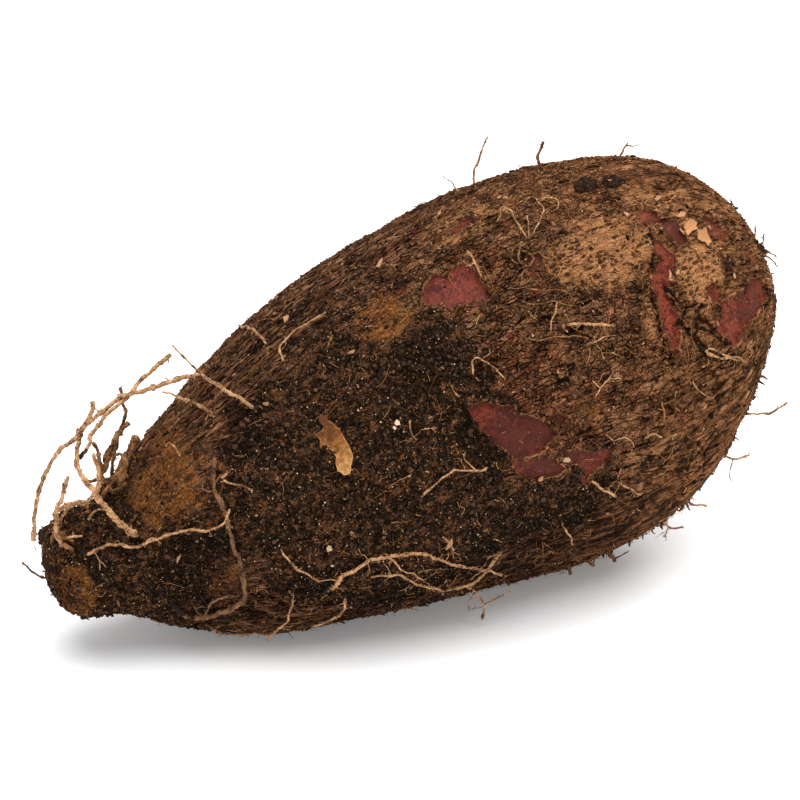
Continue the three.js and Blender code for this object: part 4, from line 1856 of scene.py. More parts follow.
@dataclass
class PeelingEdges(Scattered):
    """Shards of bark that curl up along the edges of the bare patches.

    Attributes:
        outer: mm inside a patch's edge, below 0 outside it, where they begin.
        inner: mm inside it where they end.
        apart: How far apart the edge is read to find which way leads in.
    """

    seed: int = 51
    tries: int = 70000
    corners: int = 6
    outer: float = -1.3
    inner: float = -0.08
    apart: float = 0.3

    def _inward(self, along: Array, around: Array, smooth: Array) -> Array:
        """The directions on the skin that lead into the nearest bare patch.

        Args:
            along: mm from the neck's tip.
            around: Degrees from the top towards the front.
            smooth: The places' points on the smooth form.

        Returns:
            Vectors of length 1.
        """
        here, _ = self.skin_map.edge(smooth, along, around)
        total = np.zeros_like(smooth)
        for further, round_by in ((self.apart, 0.0), (0.0, self.apart)):
            there = self.skin_map.form.point(along + further, around + round_by)
            step = there - smooth
            deeper, _ = self.skin_map.edge(there, along + further, around + round_by)
            total += step * ((deeper - here) / (step**2).sum(axis=1))[:, None]
        return unit(total)

    def build(self) -> Made:
        """Makes the shards, as one piece."""
        random = self.random
        along, around = self._places(self.tries)
        edge, _ = self.skin_map.edge(self.skin_map.form.point(along, around), along, around)
        kept = (edge > self.outer) & (edge < self.inner)
        along, around = along[kept], around[kept]
        seen = self.skin_map.survey(along, around)
        count = len(along)
        inward = self._inward(along, around, seen.smooth)
        tilt = random.uniform(0.05, 0.6, count)[:, None]
        across = unit(inward * np.cos(tilt) + seen.outward * np.sin(tilt))
        rim = unit(np.cross(across, seen.outward) + 0.25 * random.normal(size=(count, 3)))
        length = random.uniform(0.25, 0.95, (count, 1))
        width = random.uniform(0.15, 0.5, (count, 1))
        x, y = self._uneven(count, 0.4)
        x, y = x * length, y * width
        curl = random.uniform(0.0, 0.5, (count, 1)) * np.maximum(y, 0)
        shards = plates(seen.points(0.15), rim, beside(across, rim), (x, y), curl, 0.1, 0.16)
        tone = np.clip(0.32 + random.normal(0, 0.16, count) + 0.15 * seen.net, 0.05, 1)
        return self._settled(
            "peeling_edges", shards, BARK_SCALE, "bark", tone=tone, fresh=seen.fresh * 0.6
        )


@dataclass
class FineRootlets(Scattered):
    """Hair-thin rootlets that creep over the skin or stand out of it.

    Attributes:
        creeping: How many lie on the skin.
        standing: How many places are drawn for those that stand out of it.
        stations: How many points each that creeps has.
        bends: How many points each that stands has.
        sides: How many corners their sections have.
    """

    seed: int = 41
    bends: int = 5
    sides: int = 3
    creeping: int = 2500
    standing: int = 1900
    stations: int = 8

    def _creep(self, shape: Shape) -> None:
        """Adds rootlets that lie on the skin.

        Args:
            shape: What they are added to.
        """
        random, form = self.random, self.skin_map.form
        along, around = self._places(int(self.creeping * 1.4))
        seen = self.skin_map.survey(along, around)
        chance = 1 - 0.45 * seen.soil - 0.85 * seen.bare
        good = (seen.points()[:, 2] > 2.5) & (random.uniform(0, 1, len(along)) < chance)
        along, around = along[good][: self.creeping], around[good][: self.creeping]
        count = len(along)
        length = 1.2 + 8.5 * random.uniform(0, 1, count) ** 2.4
        step = length / (self.stations - 1)
        flipped = np.where(random.uniform(0, 1, count) < 0.5, 0.0, np.pi)
        heading = flipped + random.normal(0, 0.55, count)
        wild = random.uniform(0, 1, count) < 0.22
        heading = np.where(wild, random.uniform(0, 2 * np.pi, count), heading)
        swerve = random.normal(0, 0.12, count) + wild * random.normal(0, 0.25, count)
        lengthwise, crosswise = [along], [around]
        for _ in range(self.stations - 1):
            girth = np.maximum(np.sin(form.turn_at(lengthwise[-1])) * 62, 12) * np.pi / 180
            heading = heading + swerve + random.normal(0, 0.26, count)
            lengthwise.append(np.clip(lengthwise[-1] + np.cos(heading) * step * 0.9, 1, 238.5))
            crosswise.append(crosswise[-1] + np.sin(heading) * step / girth)
        s = np.linspace(0, 1, self.stations)
        bow = random.uniform(0.05, 0.55, count)[:, None] * np.sin(np.pi * s) + 0.1
        flick = (random.uniform(0, 1, count) ** 4 * 2.2)[:, None] * s**3
        lift = bow + flick - 0.25 * (s < 0.01)
        flat_along = np.stack(lengthwise, axis=1).ravel()
        flat_around = np.stack(crosswise, axis=1).ravel()
        seen = self.skin_map.survey(flat_along, flat_around)
        centres = seen.points(lift.ravel()).reshape(count, self.stations, 3)
        centres[:, :, 2] = np.maximum(centres[:, :, 2], ROOT_GAP)
        outward = seen.outward.reshape(count, self.stations, 3)
        radius = random.uniform(0.07, 0.15, count)[:, None] * (1.1 - 0.6 * s)
        points, faces = tubes(centres, radius, outward, self.sides)
        tone = np.clip(random.normal(0.42, 0.15, count) + wild * 0.3, 0.05, 1)
        shape.add(points, faces, tone=np.repeat(tone, len(points) // count))

    def _stand(self, shape: Shape) -> None:
        """Adds whiskers that stand out of the skin.

        Args:
            shape: What they are added to.
        """
        random = self.random
        seen = self.skin_map.survey(*self._places(self.standing))
        count = len(seen.soil)
        lean = beside(unit(random.normal(size=(count, 3))), seen.outward)
        length = 0.8 + 2.6 * random.uniform(0, 1, count) ** 2.5
        s = np.linspace(0, 1, self.bends)
        rise = length[:, None] * s * random.uniform(0.35, 1.0, count)[:, None]
        side = length[:, None] * s**2 * random.uniform(0.2, 0.9, count)[:, None]
        centres = seen.points(-0.2)[:, None] + seen.outward[:, None] * rise[:, :, None]
        centres = centres + lean[:, None] * side[:, :, None]
        rare = random.uniform(0, 1, count) > 0.45 * seen.fresh
        high = (centres[:, :, 2].min(axis=1) > 0.6) & rare
        centres, lean = centres[high], lean[high]
        count = len(centres)
        radius = random.uniform(0.08, 0.2, count)[:, None] * (1.15 - 0.7 * s)
        across = np.repeat(np.cross(lean, seen.outward[high])[:, None], self.bends, axis=1)
        points, faces = tubes(centres, radius, across, self.sides)
        tone = np.clip(random.normal(0.52, 0.22, count), 0.05, 1)
        shape.add(points, faces, tone=np.repeat(tone, len(points) // count))

    def build(self) -> Made:
        """Makes the rootlets, as one piece."""
        shape = Shape()
        self._creep(shape)
        self._stand(shape)
        return settle(shape.piece("fine_rootlets", HAIR.material()))


class Growth(Enum):
    """How a root's route is given."""

    FREE = "points in space"
    SKIN = "natural coordinates with lift"


@dataclass(frozen=True)
class Root:
    """One root with its branches, knots and thorny stubs.

    Attributes:
        node: The node that it stands for.
        radii: mm at its base and its tip.
        finish: Its finish.
        route: The points that it passes through, from base to tip.
        branches: Further routes, each with its radii at base and tip.
        thorns: Stubs of broken rootlets for each cm.
        rootlets: Thin side roots for each cm.
        stands_for: Whether a node of its name is replaced by it.
        slimness: How thin it is beside its radii, which take in its bends and knots.
        growth: How its routes are given.
    """

    SIDES = 9

    node: str
    radii: tuple[float, float]
    finish: RootFinish
    route: tuple[Routed, ...]
    branches: tuple[tuple[tuple[float, float], tuple[Routed, ...]], ...] = ()
    thorns: float = 5.0
    rootlets: float = 1.0
    stands_for: bool = True
    slimness: float = 0.64
    growth: Growth = Growth.SKIN

    def _line(self, form: TuberForm, route: tuple[Routed, ...], step: float) -> Array:
        """Follows a route.

        Args:
            form: The tuber's form.
            route: The points that it passes through.
            step: mm between stations.

        Returns:
            The centre line.
        """
        rows = np.array(route, float)
        if self.growth is Growth.SKIN:
            rows = form.off_skin(rows[:, 0], rows[:, 1], rows[:, 2])
        else:
            rows = rows + np.array([*form.shift, 0.0])
        return through(rows, step)

    def _rod(
        self, shape: Shape, line: Array, radii: tuple[float, float], noise: Noise, random: Draws,
    ) -> tuple[Array, Array]:
        """Adds one knotted rod.

        Args:
            shape: What it is added to.
            line: The centre line.
            radii: mm at base and tip.
            noise: Its roughness.
            random: Draws its knots.

        Returns:
            The centre line as it wanders, and the radius at each station.
        """
        s = np.linspace(0, 1, len(line))
        sway = np.stack([noise.layered(line + 40 * k, 5.0, 3) for k in (1, 2, 3)], axis=1)
        ends = np.minimum(s, 1 - s)[:, None]
        centre = line + 0.9 * sway * np.minimum(ends * 12, 1)
        radius = self.slimness * (radii[0] + (radii[1] - radii[0]) * s)
        radius = radius * (1 + 0.2 * noise.layered(line + 9.0, 2.4, 2))
        length = long_of(line)
        for knot in random.uniform(0, length, max(1, int(length / 3.5))):
            radius = radius * (1 + 0.32 * np.exp(-(((s * length - knot) / 0.5) ** 2)))
        points, faces = tubes(centre[None], radius[None], carried(centre)[None], self.SIDES)
        middle = np.repeat(centre, self.SIDES, axis=0)
        body = points[: len(middle)]
        rough = noise.smooth(body, 0.8) * radii[0] * 0.2
        points[: len(middle)] = body + unit(body - middle) * rough[:, None]
        buried = np.repeat(np.clip(1 - s * 5, 0, 1), self.SIDES)
        shape.add(points, faces, dirt=np.concatenate([buried, [1.0, 0.0]]))
        return centre, radius

    def _thorns(self, shape: Shape, centre: Array, radius: Array, random: Draws) -> None:
        """Adds stubs of broken rootlets.

        Args:
            shape: What they are added to.
            centre: The root's centre line.
            radius: Its radius at each station.
            random: Draws the stubs.
        """
        count = int(self.thorns * long_of(centre) / 10)
        if not count:
            return
        station = random.integers(1, len(centre) - 1, count)
        tangent = unit(np.gradient(centre, axis=0))[station]
        lean = unit(np.cross(tangent, unit(random.normal(size=(count, 3)))))
        grow = unit(lean + tangent * random.uniform(-0.6, 0.9, (count, 1)))
        long = random.uniform(0.3, 1.25, count)
        t = np.array([0.0, 0.55, 1.0])
        start = centre[station] + lean * radius[station, None] * 0.7
        bend = unit(random.normal(size=(count, 3)))
        centres = start[:, None] + grow[:, None] * (long[:, None] * t)[:, :, None]
        centres = centres + bend[:, None] * (0.25 * long[:, None] * t**2)[:, :, None]
        thin = (random.uniform(0.14, 0.3, count) * radius[station] ** 0.4)[:, None]
        across = np.repeat(bend[:, None], len(t), axis=1)
        points, faces = tubes(centres, thin * (1 - 0.65 * t), across, 4)
        shape.add(points, faces, dirt=0.35)

    def _rootlets(
        self, shape: Shape, form: TuberForm, centre: Array, radius: Array, random: Draws,
    ) -> None:
        """Adds thin forked side roots.

        Args:
            shape: What they are added to.
            form: The tuber's form.
            centre: The root's centre line.
            radius: Its radius at each station.
            random: Draws the side roots.
        """
        count = int(self.rootlets * long_of(centre) / 10 + 0.5)
        if not count:
            return
        station = random.integers(2, len(centre) - 1, count)
        tangent = unit(np.gradient(centre, axis=0))[station]
        start = centre[station]
        clinging = self.growth is Growth.SKIN
        if clinging:
            outward = form.outward(*form.nearest(start))
        else:
            outward = unit(random.normal(size=(count, 3)))
        side = unit(np.cross(tangent, outward)) * random.choice([-1.0, 1.0], (count, 1))
        heading = unit(side + tangent * random.uniform(-0.3, 1.3, (count, 1)))
        reach = 7.5 if clinging else 2.6
        long = 1.0 + reach * random.uniform(0, 1, count) ** 1.7
        main = wander(random, start, heading, outward, long, clinging)
        aside = 0.8 * side * random.normal(size=(count, 1)) * 0.3
        fork_heading = unit(main[:, 4] - main[:, 3] + aside)
        fork = wander(random, main[:, 4], fork_heading, outward, long * 0.5, clinging)
        for centres, share in ((main, 0.42), (fork, 0.26)):
            stations = centres.shape[1]
            taper = np.linspace(1.0, 0.4, stations)
            thin = np.clip(radius[station] * share, 0.12, 0.42)[:, None] * taper
            across = np.repeat(outward[:, None], stations, axis=1)
            points, faces = tubes(centres, thin, across, 4)
            shape.add(points, faces, dirt=0.0)

    def build(self, form: TuberForm, material: Material, seed: int) -> Made:
        """Makes the root, in place of its node.

        Args:
            form: The tuber's form.
            material: Its finish.
            seed: Tells its knots from another root's.

        Returns:
            The object.
        """
        random = np.random.default_rng(seed)
        shape = Shape()
        for radii, route in ((self.radii, self.route), *self.branches):
            line = self._line(form, route, 0.5)
            centre, radius = self._rod(shape, line, radii, Noise(seed), random)
            self._thorns(shape, centre, radius, random)
            self._rootlets(shape, form, centre, radius, random)
        replaced = [self.node] if self.stands_for else []
        return settle(shape.piece(f"{self.node}_grown", material), replaced)


def wander(
    random: Draws, start: Array, heading: Array, outward: Array, long: Array, clinging: bool,
    stations: int = 9,
) -> Array:
    """Grows several thin lines that swerve as they go.

    Args:
        random: Draws the swerves.
        start: Where each begins.
        heading: Which way each sets out.
        outward: Out of the skin, at each.
        long: How long each is, in mm.
        clinging: Whether they keep to the skin.
        stations: How many points each has.

    Returns:
        Lines by stations by 3.
    """
    places = [start]
    for _ in range(stations - 1):
        heading = unit(heading + 0.32 * random.normal(size=heading.shape))
        if clinging:
            off = (heading * outward).sum(axis=1, keepdims=True)
            heading = unit(heading - outward * (0.75 * off + 0.06))
        places.append(places[-1] + heading * long[:, None] / (stations - 1))
    return np.stack(places, axis=1)


CROWN_ROOTS = (
    Root("crown_root_arc", (1.15, 0.85), PALE_ROOT,
         ((-62, 14, 75), (-70, 9, 79), (-82, 7, 79), (-97, 3, 78), (-107, -1, 75), (-115, -4, 71),
          (-121, -6, 67), (-125, -6, 60), (-127, -6, 52), (-128, -6, 44)),
         (((0.25, 0.15), ((-128, -6, 44), (-128, -6, 42), (-127.6, -6, 40.5))),)),
    Root("crown_root_high", (0.8, 0.95), PALE_ROOT,
         ((-114, -10, 68), (-110, -5, 69), (-105, 3, 70), (-99, 7, 73), (-92, 9.5, 76),
          (-87, 12, 79), (-76, 14, 85))),
    Root("crown_root_front", (1.4, 0.85), PALE_ROOT,
         ((-97, -11, 40), (-102, -15, 45), (-108, -18, 52), (-113, -19, 60), (-117, -17, 68),
          (-116, -14, 74), (-111, -12, 82), (-110, -12, 85))),
    Root("crown_root_tip", (0.95, 0.85), PALE_ROOT,
         ((-116, -1, 36), (-120, -3, 43), (-121, -7, 51), (-121, -13, 59), (-121, -19, 67))),
    Root("crown_root_bent", (1.1, 0.85), PALE_ROOT,
         ((-114, 5, 40), (-118, 3, 47), (-115, 0, 50), (-111, -4, 52), (-108, -6, 56),
          (-107, -5, 60), (-108, -4, 66))),
    Root("crown_root_dark", (1.3, 1.0), BROWN_ROOT,
         ((-101, 12, 43), (-103, 5, 53), (-100, 6, 59), (-96, 8, 65), (-92, 9, 68))),
    Root("crown_root_stump", (1.7, 1.6), BROWN_ROOT,
         ((-97, 6, 46), (-98, 0, 56), (-96, 0, 62), (-93, 0, 67)),
         (((1.0, 1.0), ((-97, -0.5, 62), (-99, -5, 64), (-101, -10, 64), (-105, -14, 62),
                        (-109, -11, 60))),)),
    Root("crown_root_upright", (0.9, 0.7), BROWN_ROOT,
         ((-95, 14, 43), (-97, 12, 53), (-94, 14, 61), (-91, 14, 70), (-92, 15, 77))),
    Root("shoulder_root_long", (0.95, 0.4), PALE_ROOT,
         ((-61, -14, 73), (-65, -16, 78), (-71, -11, 82), (-77, -12, 87), (-80, -9, 91),
          (-83, -5, 95))),
    Root("shoulder_root_short", (0.9, 0.4), PALE_ROOT,
         ((-70, -7, 70), (-75, -8, 75), (-80, -11, 79), (-90, -14, 85))),
    Root("neck_twig", (0.6, 0.4), DARK_ROOT,
         ((-116, 9, 24), (-123, 4, 27), (-126, 3, 30), (-129, 2, 34))),
)

SKIN_ROOTS = (
    Root("neck_root", (0.75, 0.45), PALE_ROOT,
         ((3, 60, -1.5), (8, 53, 1.6), (13, 50, 1.6), (21, 62, 1.4), (32, 68, 1.5), (38, 72, 3),
          (43, 71, 4), (45, 66, 3.8))),
    Root("hooked_root", (1.2, 0.8), DARK_ROOT,
         ((28, 118, -1.5), (32, 126, 2), (36, 130, 2), (43, 123, 2), (47, 111, 2), (46, 96, 2),
          (44, 82, 1.9), (43, 65, 1.8), (42, 53, 1.7), (44, 40, 1.5)),
         (((0.6, 0.5), ((47, 111, 2), (44, 111, 1.7), (39, 117, 1.4), (38, 121, 3.6))),)),
    Root("side_rootlet", (0.55, 0.4), PALE_ROOT,
         ((52, 64, -1), (49, 59, 1.2), (45, 54, 1.2), (44.5, 52, 1.6))),
    Root("belly_root_long", (0.85, 0.5), PALE_ROOT,
         ((65, 117, -1.5), (68, 111, 1.6), (73, 103, 1.6), (84, 102, 1.5), (95, 106, 1.4),
          (104, 114, 1.3), (113, 120, 1.2), (125, 130, 1.2)), (), 6.0, 2.6),
    Root("belly_root_crossing", (0.7, 0.45), PALE_ROOT,
         ((121, 108, -1), (118, 113, 2.4), (115, 120, 3.4), (112, 126, 2.8), (107, 130, 1.4),
          (102, 126, 1.2), (93, 118, 1.2), (86, 111, 1.2), (79, 109, 1.2)), (), 6.0, 2.6),
    Root("belly_root_short", (0.65, 0.45), PALE_ROOT,
         ((73, 116, -1.2), (74, 122, 1.4), (74, 129, 1.3), (72, 135, 1.2), (68, 138, 1.2))),
    Root("belly_rootlet", (0.5, 0.4), PALE_ROOT,
         ((53, 86, -1), (57, 94, 1.2), (62, 102, 1.2), (65, 106, 1.2))),
    Root("hanging_root", (0.65, 0.45), PALE_ROOT,
         ((113, 134, -1.2), (118, 136, 2), (121, 139, 6), (121, 142, 10)),
         (((0.35, 0.25), ((121, 139, 6), (124, 136, 6), (128, 133, 5))),
          ((0.3, 0.2), ((118, 136, 2.5), (116, 138, 4.5), (116, 139, 6.5))))),
    Root("leaning_rootlet", (0.5, 0.4), PALE_ROOT,
         ((59, 112, -1), (59, 120, 1.3), (59, 129, 1.5), (57, 136, 3), (56, 138, 5))),
    Root("underside_rootlet", (0.5, 0.4), PALE_ROOT,
         ((39, 143, -1), (44, 150, 1.4), (49, 152, 1.6), (54, 150, 1.3), (60, 145, 1.3))),
    Root("top_rootlet_near_neck", (0.6, 0.4), PALE_ROOT,
         ((69, 5, -1), (70, -7, 1.3), (72, -27, 1.2))),
    Root("top_rootlet_hooked", (0.55, 0.45), PALE_ROOT,
         ((87, 8, -1), (83, 11, 1.3), (76, 9, 1.2), (71, 11, 1.2), (69, 18, 1.2))),
    Root("top_rootlet_split", (0.75, 0.45), PALE_ROOT,
         ((128, 18, -1), (127, 25, 1.3), (126, 31, 1.8)),
         (((0.4, 0.25), ((127, 25, 1.3), (125, 26, 2.2), (124, 24, 2.6))),)),
    Root("side_root_end", (0.85, 0.5), PALE_ROOT,
         ((143, 54, -1.2), (147, 56, 1.5), (153, 58, 1.4), (159, 60, 1.3))),
    Root("round_end_rootlet", (0.55, 0.45), PALE_ROOT,
         ((208, 87, -1), (202, 83, 1.2), (190, 75, 1.2))),
    Root("belly_root_end", (0.65, 0.5), PALE_ROOT,
         ((147, 99, -1), (150, 102, 1.4), (158, 108, 1.3))),
    Root("branched_rootlet", (0.45, 0.4), PALE_ROOT,
         ((116, 83, -1), (111, 83, 1.1), (102, 80, 1.1), (92, 84, 1.1)),
         (((0.3, 0.2), ((108, 82, 1.2), (106, 79, 1.4), (105, 76, 1.2))),)),
    Root("top_stalk_tall", (0.65, 0.4), PALE_ROOT,
         ((153, -22, -1.2), (155, -22, 4), (159, -22, 9), (163, -23, 13)),
         (((0.35, 0.2), ((148, -22, -1), (147, -22, 3), (145, -22, 6.5))),), 6.0),
    Root("top_stalk_blunt", (0.65, 0.8), BROWN_ROOT,
         ((173, -17, -1.2), (174, -17, 3.5), (176, -17, 7)), (), 6.0),
    Root("top_stalk_small", (0.5, 0.4), BROWN_ROOT,
         ((197, -10, -1.2), (198, -10, 2.5), (200, -11, 4.5)),
         (((0.35, 0.2), ((199, -10, 3.5), (202, -10, 3.6), (203, -10, 4.6))),), 6.0),
    Root("end_twig_upper", (0.6, 0.5), PALE_ROOT,
         ((214, 118, -1.2), (216, 118, 4), (217, 117, 8), (219, 114, 11)), (), 6.0),
    Root("end_twig_middle", (0.6, 0.45), PALE_ROOT,
         ((207, 126, -1.2), (208, 126, 4), (210, 125, 7.5)),
         (((0.35, 0.2), ((208, 126, 3.5), (205, 128, 5.5), (204, 128, 7.5))),), 6.0),
    Root("end_twig_lower", (0.5, 0.4), PALE_ROOT,
         ((190, 141, -1), (191, 142, 3), (194, 142, 6)),
         (((0.3, 0.2), ((191, 142, 3), (189, 143, 4.5), (189, 144, 6))),), 6.0),
    Root("end_twig_low", (0.5, 0.4), PALE_ROOT,
         ((197, 136, -1), (198, 137, 3), (200, 137, 6)), (), 6.0),
    Root("root_stub_large", (1.1, 1.0), DARK_ROOT,
         ((172, 148, -1.5), (174, 149, 1.5), (175, 150, 3.4))),
    Root("root_stub_middle", (0.95, 0.85), DARK_ROOT,
         ((166, 148, -1.5), (167, 149, 1), (168, 150, 2.4))),
    Root("root_stub_small", (0.85, 0.75), DARK_ROOT,
         ((156, 145, -1.5), (158, 147, 1), (159, 149, 2.6))),
)


def stray(
    name: str, radii: tuple[float, float], finish: RootFinish, *routes: tuple[Routed, ...]
) -> Root:
    """A root that no node stands for.

    Args:
        name: Its name.
        radii: mm at base and tip.
        finish: Its finish.
        routes: Its own route and those of its branches, in natural coordinates with lift.

    Returns:
        The root.
    """
    first, *others = routes
    forks = tuple(((radii[0] * 0.75, radii[1] * 0.8), route) for route in others)
    return Root(name, radii, finish, first, forks, 3.5, 0.8, False)


STRAY_ROOTS = (
    stray("pale_hook", (0.6, 0.4), PALE_ROOT,
          ((182.6, 50.2, 0.6), (181.4, 51.4, 1.4), (180.6, 52.8, 1.4), (182.4, 53.4, 0.8))),
    stray("neck_pale_curl", (1.1, 0.8), BROWN_ROOT,
          ((1.5, 20, 0.4), (1.8, 10, 1.6), (2.8, 16, 2.2), (3.9, 25, 1.8), (4.6, 34, 0.4))),
    stray("neck_pale_knob", (1.2, 0.7), BROWN_ROOT,
          ((2.9, 33, 0.4), (3.3, 38, 1.4), (4.0, 44, 1.0), (3.6, 47, 0.2))),
    stray("top_curls", (0.42, 0.28), PALE_ROOT,
          ((144, 27, 0.3), (144, 23, 1.6), (144, 18, 2.2), (145, 16, 2.4), (144, 12, 2.2),
           (142, 14, 1.6), (140.5, 15, 0.8)),
          ((144, 27, 0.5), (148, 25, 1.9), (151, 22, 2.4), (153.5, 19, 2.2), (153.5, 16, 2.4),
           (153, 13, 2.1), (149, 12, 1)),
          ((153.5, 16, 2.3), (156, 16, 2.2), (159, 18, 1.7), (158, 20, 1.1), (154, 20, 0.6)),
          ((144, 27, 0.5), (146, 24, 2), (148, 19, 1.6))),
    stray("top_knot", (0.55, 0.35), BROWN_ROOT,
          ((138, 27, -0.5), (141, 30, 1.8), (142.5, 33, 1.4), (140, 35, 1), (138, 32, 1.4),
           (140, 29, 2.2), (143, 28, 1.6)),
          ((139, 33, 0), (136.5, 31, 1.4), (138, 28, 1.8), (141, 27, 1)),
          ((141, 31, 0.5), (144, 32, 1.6), (146, 35, 1.2), (149, 36, 0.6)),
          ((140, 34, 0.3), (137, 36, 1), (135, 39, 0.8))),
    stray("upright_splinter", (0.5, 0.3), PALE_ROOT,
          ((144.6, 47, 0.2), (141, 51, 1.2), (138.4, 55, 0.8))),
    stray("lying_thread", (0.42, 0.25), PALE_ROOT,
          ((147.8, 62, 0), (151, 62.4, 0.9), (155, 62, 1), (158.6, 62.8, 1.4)),
          ((151, 62.4, 0.8), (153, 65, 1), (154, 68, 0.6))),
    stray("bent_thread", (0.4, 0.25), PALE_ROOT,
          ((112.3, 57, 0), (114.8, 52, 1.2), (119, 56, 1), (121.5, 61.2, 0.9))),
    stray("short_splinter", (0.5, 0.3), BROWN_ROOT,
          ((106, 54, 0.2), (106.5, 58, 1), (107.3, 60, 1.4))),
    stray("forked_thread", (0.4, 0.25), PALE_ROOT,
          ((148.2, 77.6, 0), (150.6, 74.4, 1), (154.3, 72.8, 1.2), (155.8, 71, 1.5)),
          ((150.6, 74.4, 0.9), (148.2, 71.6, 1.3)), ((154.3, 72.8, 1), (158, 74, 1.2))),
    stray("side_tuft", (0.5, 0.3), BROWN_ROOT,
          ((172.5, 83, -0.4), (171.7, 87, 1.8), (171.7, 90, 2)),
          ((173.6, 86.8, 0), (169.8, 85.2, 1.8)), ((172, 85, 0), (175, 84, 2.2), (176, 82, 2.4))),
    stray("upper_fibre", (0.34, 0.24), BROWN_ROOT,
          ((135.1, 38.8, 0), (140.1, 43.2, 0.7), (146.6, 45.6, 0.7), (151.5, 48.8, 0.4))),
    stray("lower_fibre", (0.34, 0.24), BROWN_ROOT,
          ((132.3, 41.6, 0), (136.4, 45.6, 0.7), (143.8, 48, 0.6), (149, 51, 0.3))),
    stray("long_fibre", (0.36, 0.22), BROWN_ROOT,
          ((128, 50, 0), (134, 55, 0.7), (141, 57, 0.7), (149, 60, 0.7), (158, 66, 0.4)),
          ((141, 57, 0.6), (146, 54, 0.8), (152, 55, 0.5))),
    stray("pale_end_root", (0.7, 0.4), PALE_ROOT,
          ((187, 73, -0.4), (191, 77, 1.6), (196, 80, 1.4), (201, 82, 1.4), (206, 86, 1.2))),
    stray("shoulder_thread", (0.42, 0.28), PALE_ROOT,
          ((34.6, 9.6, 0), (36.1, 13.6, 1.4), (36.4, 21.2, 1.2), (36.6, 26, 0.8))),
    stray("underneath_thread", (0.5, 0.3), BROWN_ROOT,
          ((40, 150, 0), (47, 153, 0.8), (53.5, 152, 0.8), (60, 150, 0.6))),
    stray("belly_forks", (0.42, 0.24), PALE_ROOT,
          ((79.4, 98.8, 0), (82.2, 100.4, 1), (87.3, 108.8, 1), (92.6, 114, 1), (100, 125, 0.8)),
          ((82.2, 100.4, 0.9), (82.2, 104, 1.1), (85.7, 112, 0.8)),
          ((92.6, 114, 0.9), (97, 113, 1.1), (102, 116, 0.8))),
    stray("right_thread", (0.36, 0.22), PALE_ROOT,
          ((150.6, 86, 0), (154.7, 90, 1), (159.4, 90.4, 1.2), (162.1, 94, 1)),
          ((154.7, 90, 0.8), (156, 94, 1.2))),
    stray("right_splinter", (0.5, 0.3), PALE_ROOT,
          ((164.9, 93.2, 0), (168.3, 91.6, 1.4), (172, 94, 1.2))),
    stray("end_thread", (0.36, 0.22), PALE_ROOT,
          ((183, 81.6, 0), (186.9, 86.4, 0.9), (192.3, 90.4, 0.8))),
    stray("low_splinter", (0.5, 0.3), PALE_ROOT,
          ((139.7, 111.2, 0), (143.4, 116.4, 1.4), (148, 124, 1))),
    stray("low_thread", (0.36, 0.22), PALE_ROOT,
          ((154.7, 104.8, 0), (157.4, 103.2, 0.9), (162.9, 107.6, 1), (168.3, 110.8, 0.8)),
          ((157.4, 103.2, 0.8), (158, 99, 1.2))),
    stray("belly_chip_root", (0.6, 0.4), PALE_ROOT,
          ((98.3, 100.4, 0), (100.7, 103.6, 1.3), (102.8, 107.2, 1.2))),
    stray("middle_splinter", (0.4, 0.25), PALE_ROOT,
          ((92.6, 59.6, 0), (92.2, 63.6, 1.1), (93, 66.4, 1))),
    stray("neck_top_root", (0.85, 0.6), PALE_ROOT,
          ((11, 3, -0.5), (13.4, -14, 2.2), (9.5, -15, 2.6), (5.6, -4, 1.6), (2.5, 12, 1.2)),
          ((2.7, 17.2, 0.5), (3.9, 28.8, 1.6), (7, 34, 1.4))),
    stray("neck_short_root", (0.6, 0.4), PALE_ROOT, ((10, 14, 0), (13, 9, 1.5), (16.4, 12.8, 1.4))),
    stray("neck_dark_stump", (1.2, 0.8), BROWN_ROOT,
          ((20, -22, -1), (22, -20, 4), (25, -22, 8), (27, -24, 12)),
          ((22, -20, 3), (19, -18, 6), (18, -20, 9)), ((25, -22, 6), (28, -16, 8), (31, -14, 9.5))),
    stray("neck_twisted_root", (0.9, 0.6), BROWN_ROOT,
          ((16, -10, -0.5), (20, -4, 2.6), (25, -6, 3.6), (28, -12, 4.5), (27, -18, 6)),
          ((20, -4, 2), (21, 3, 2.2), (24, 6, 1.4))),
    Root("end_spikes", (0.55, 0.3), BROWN_ROOT,
         ((227, 44, -0.5), (229, 40, 2.4), (230, 34, 4)),
         (((0.5, 0.3), ((228, 44, 0), (231, 46, 3), (232, 48, 4.2))),
          ((0.5, 0.3), ((227, 47, 0), (228, 54, 2.6), (229, 58, 3.4))),
          ((0.5, 0.3), ((226, 41, 0), (225, 36, 2.6)))),
         9.0, 0.0, False),
)


@dataclass
class Roots:
    """All the larger roots, each a piece of its own."""

    form: TuberForm
    seed: int = 100

    def build(self) -> None:
        """Makes the roots."""
        finishes = (PALE_ROOT, BROWN_ROOT, DARK_ROOT)
        materials = {finish.name: finish.material() for finish in finishes}
        crown = (replace(root, growth=Growth.FREE) for root in CROWN_ROOTS)
        for number, root in enumerate((*crown, *SKIN_ROOTS, *STRAY_ROOTS)):
            root.build(self.form, materials[root.finish.name], self.seed + number)


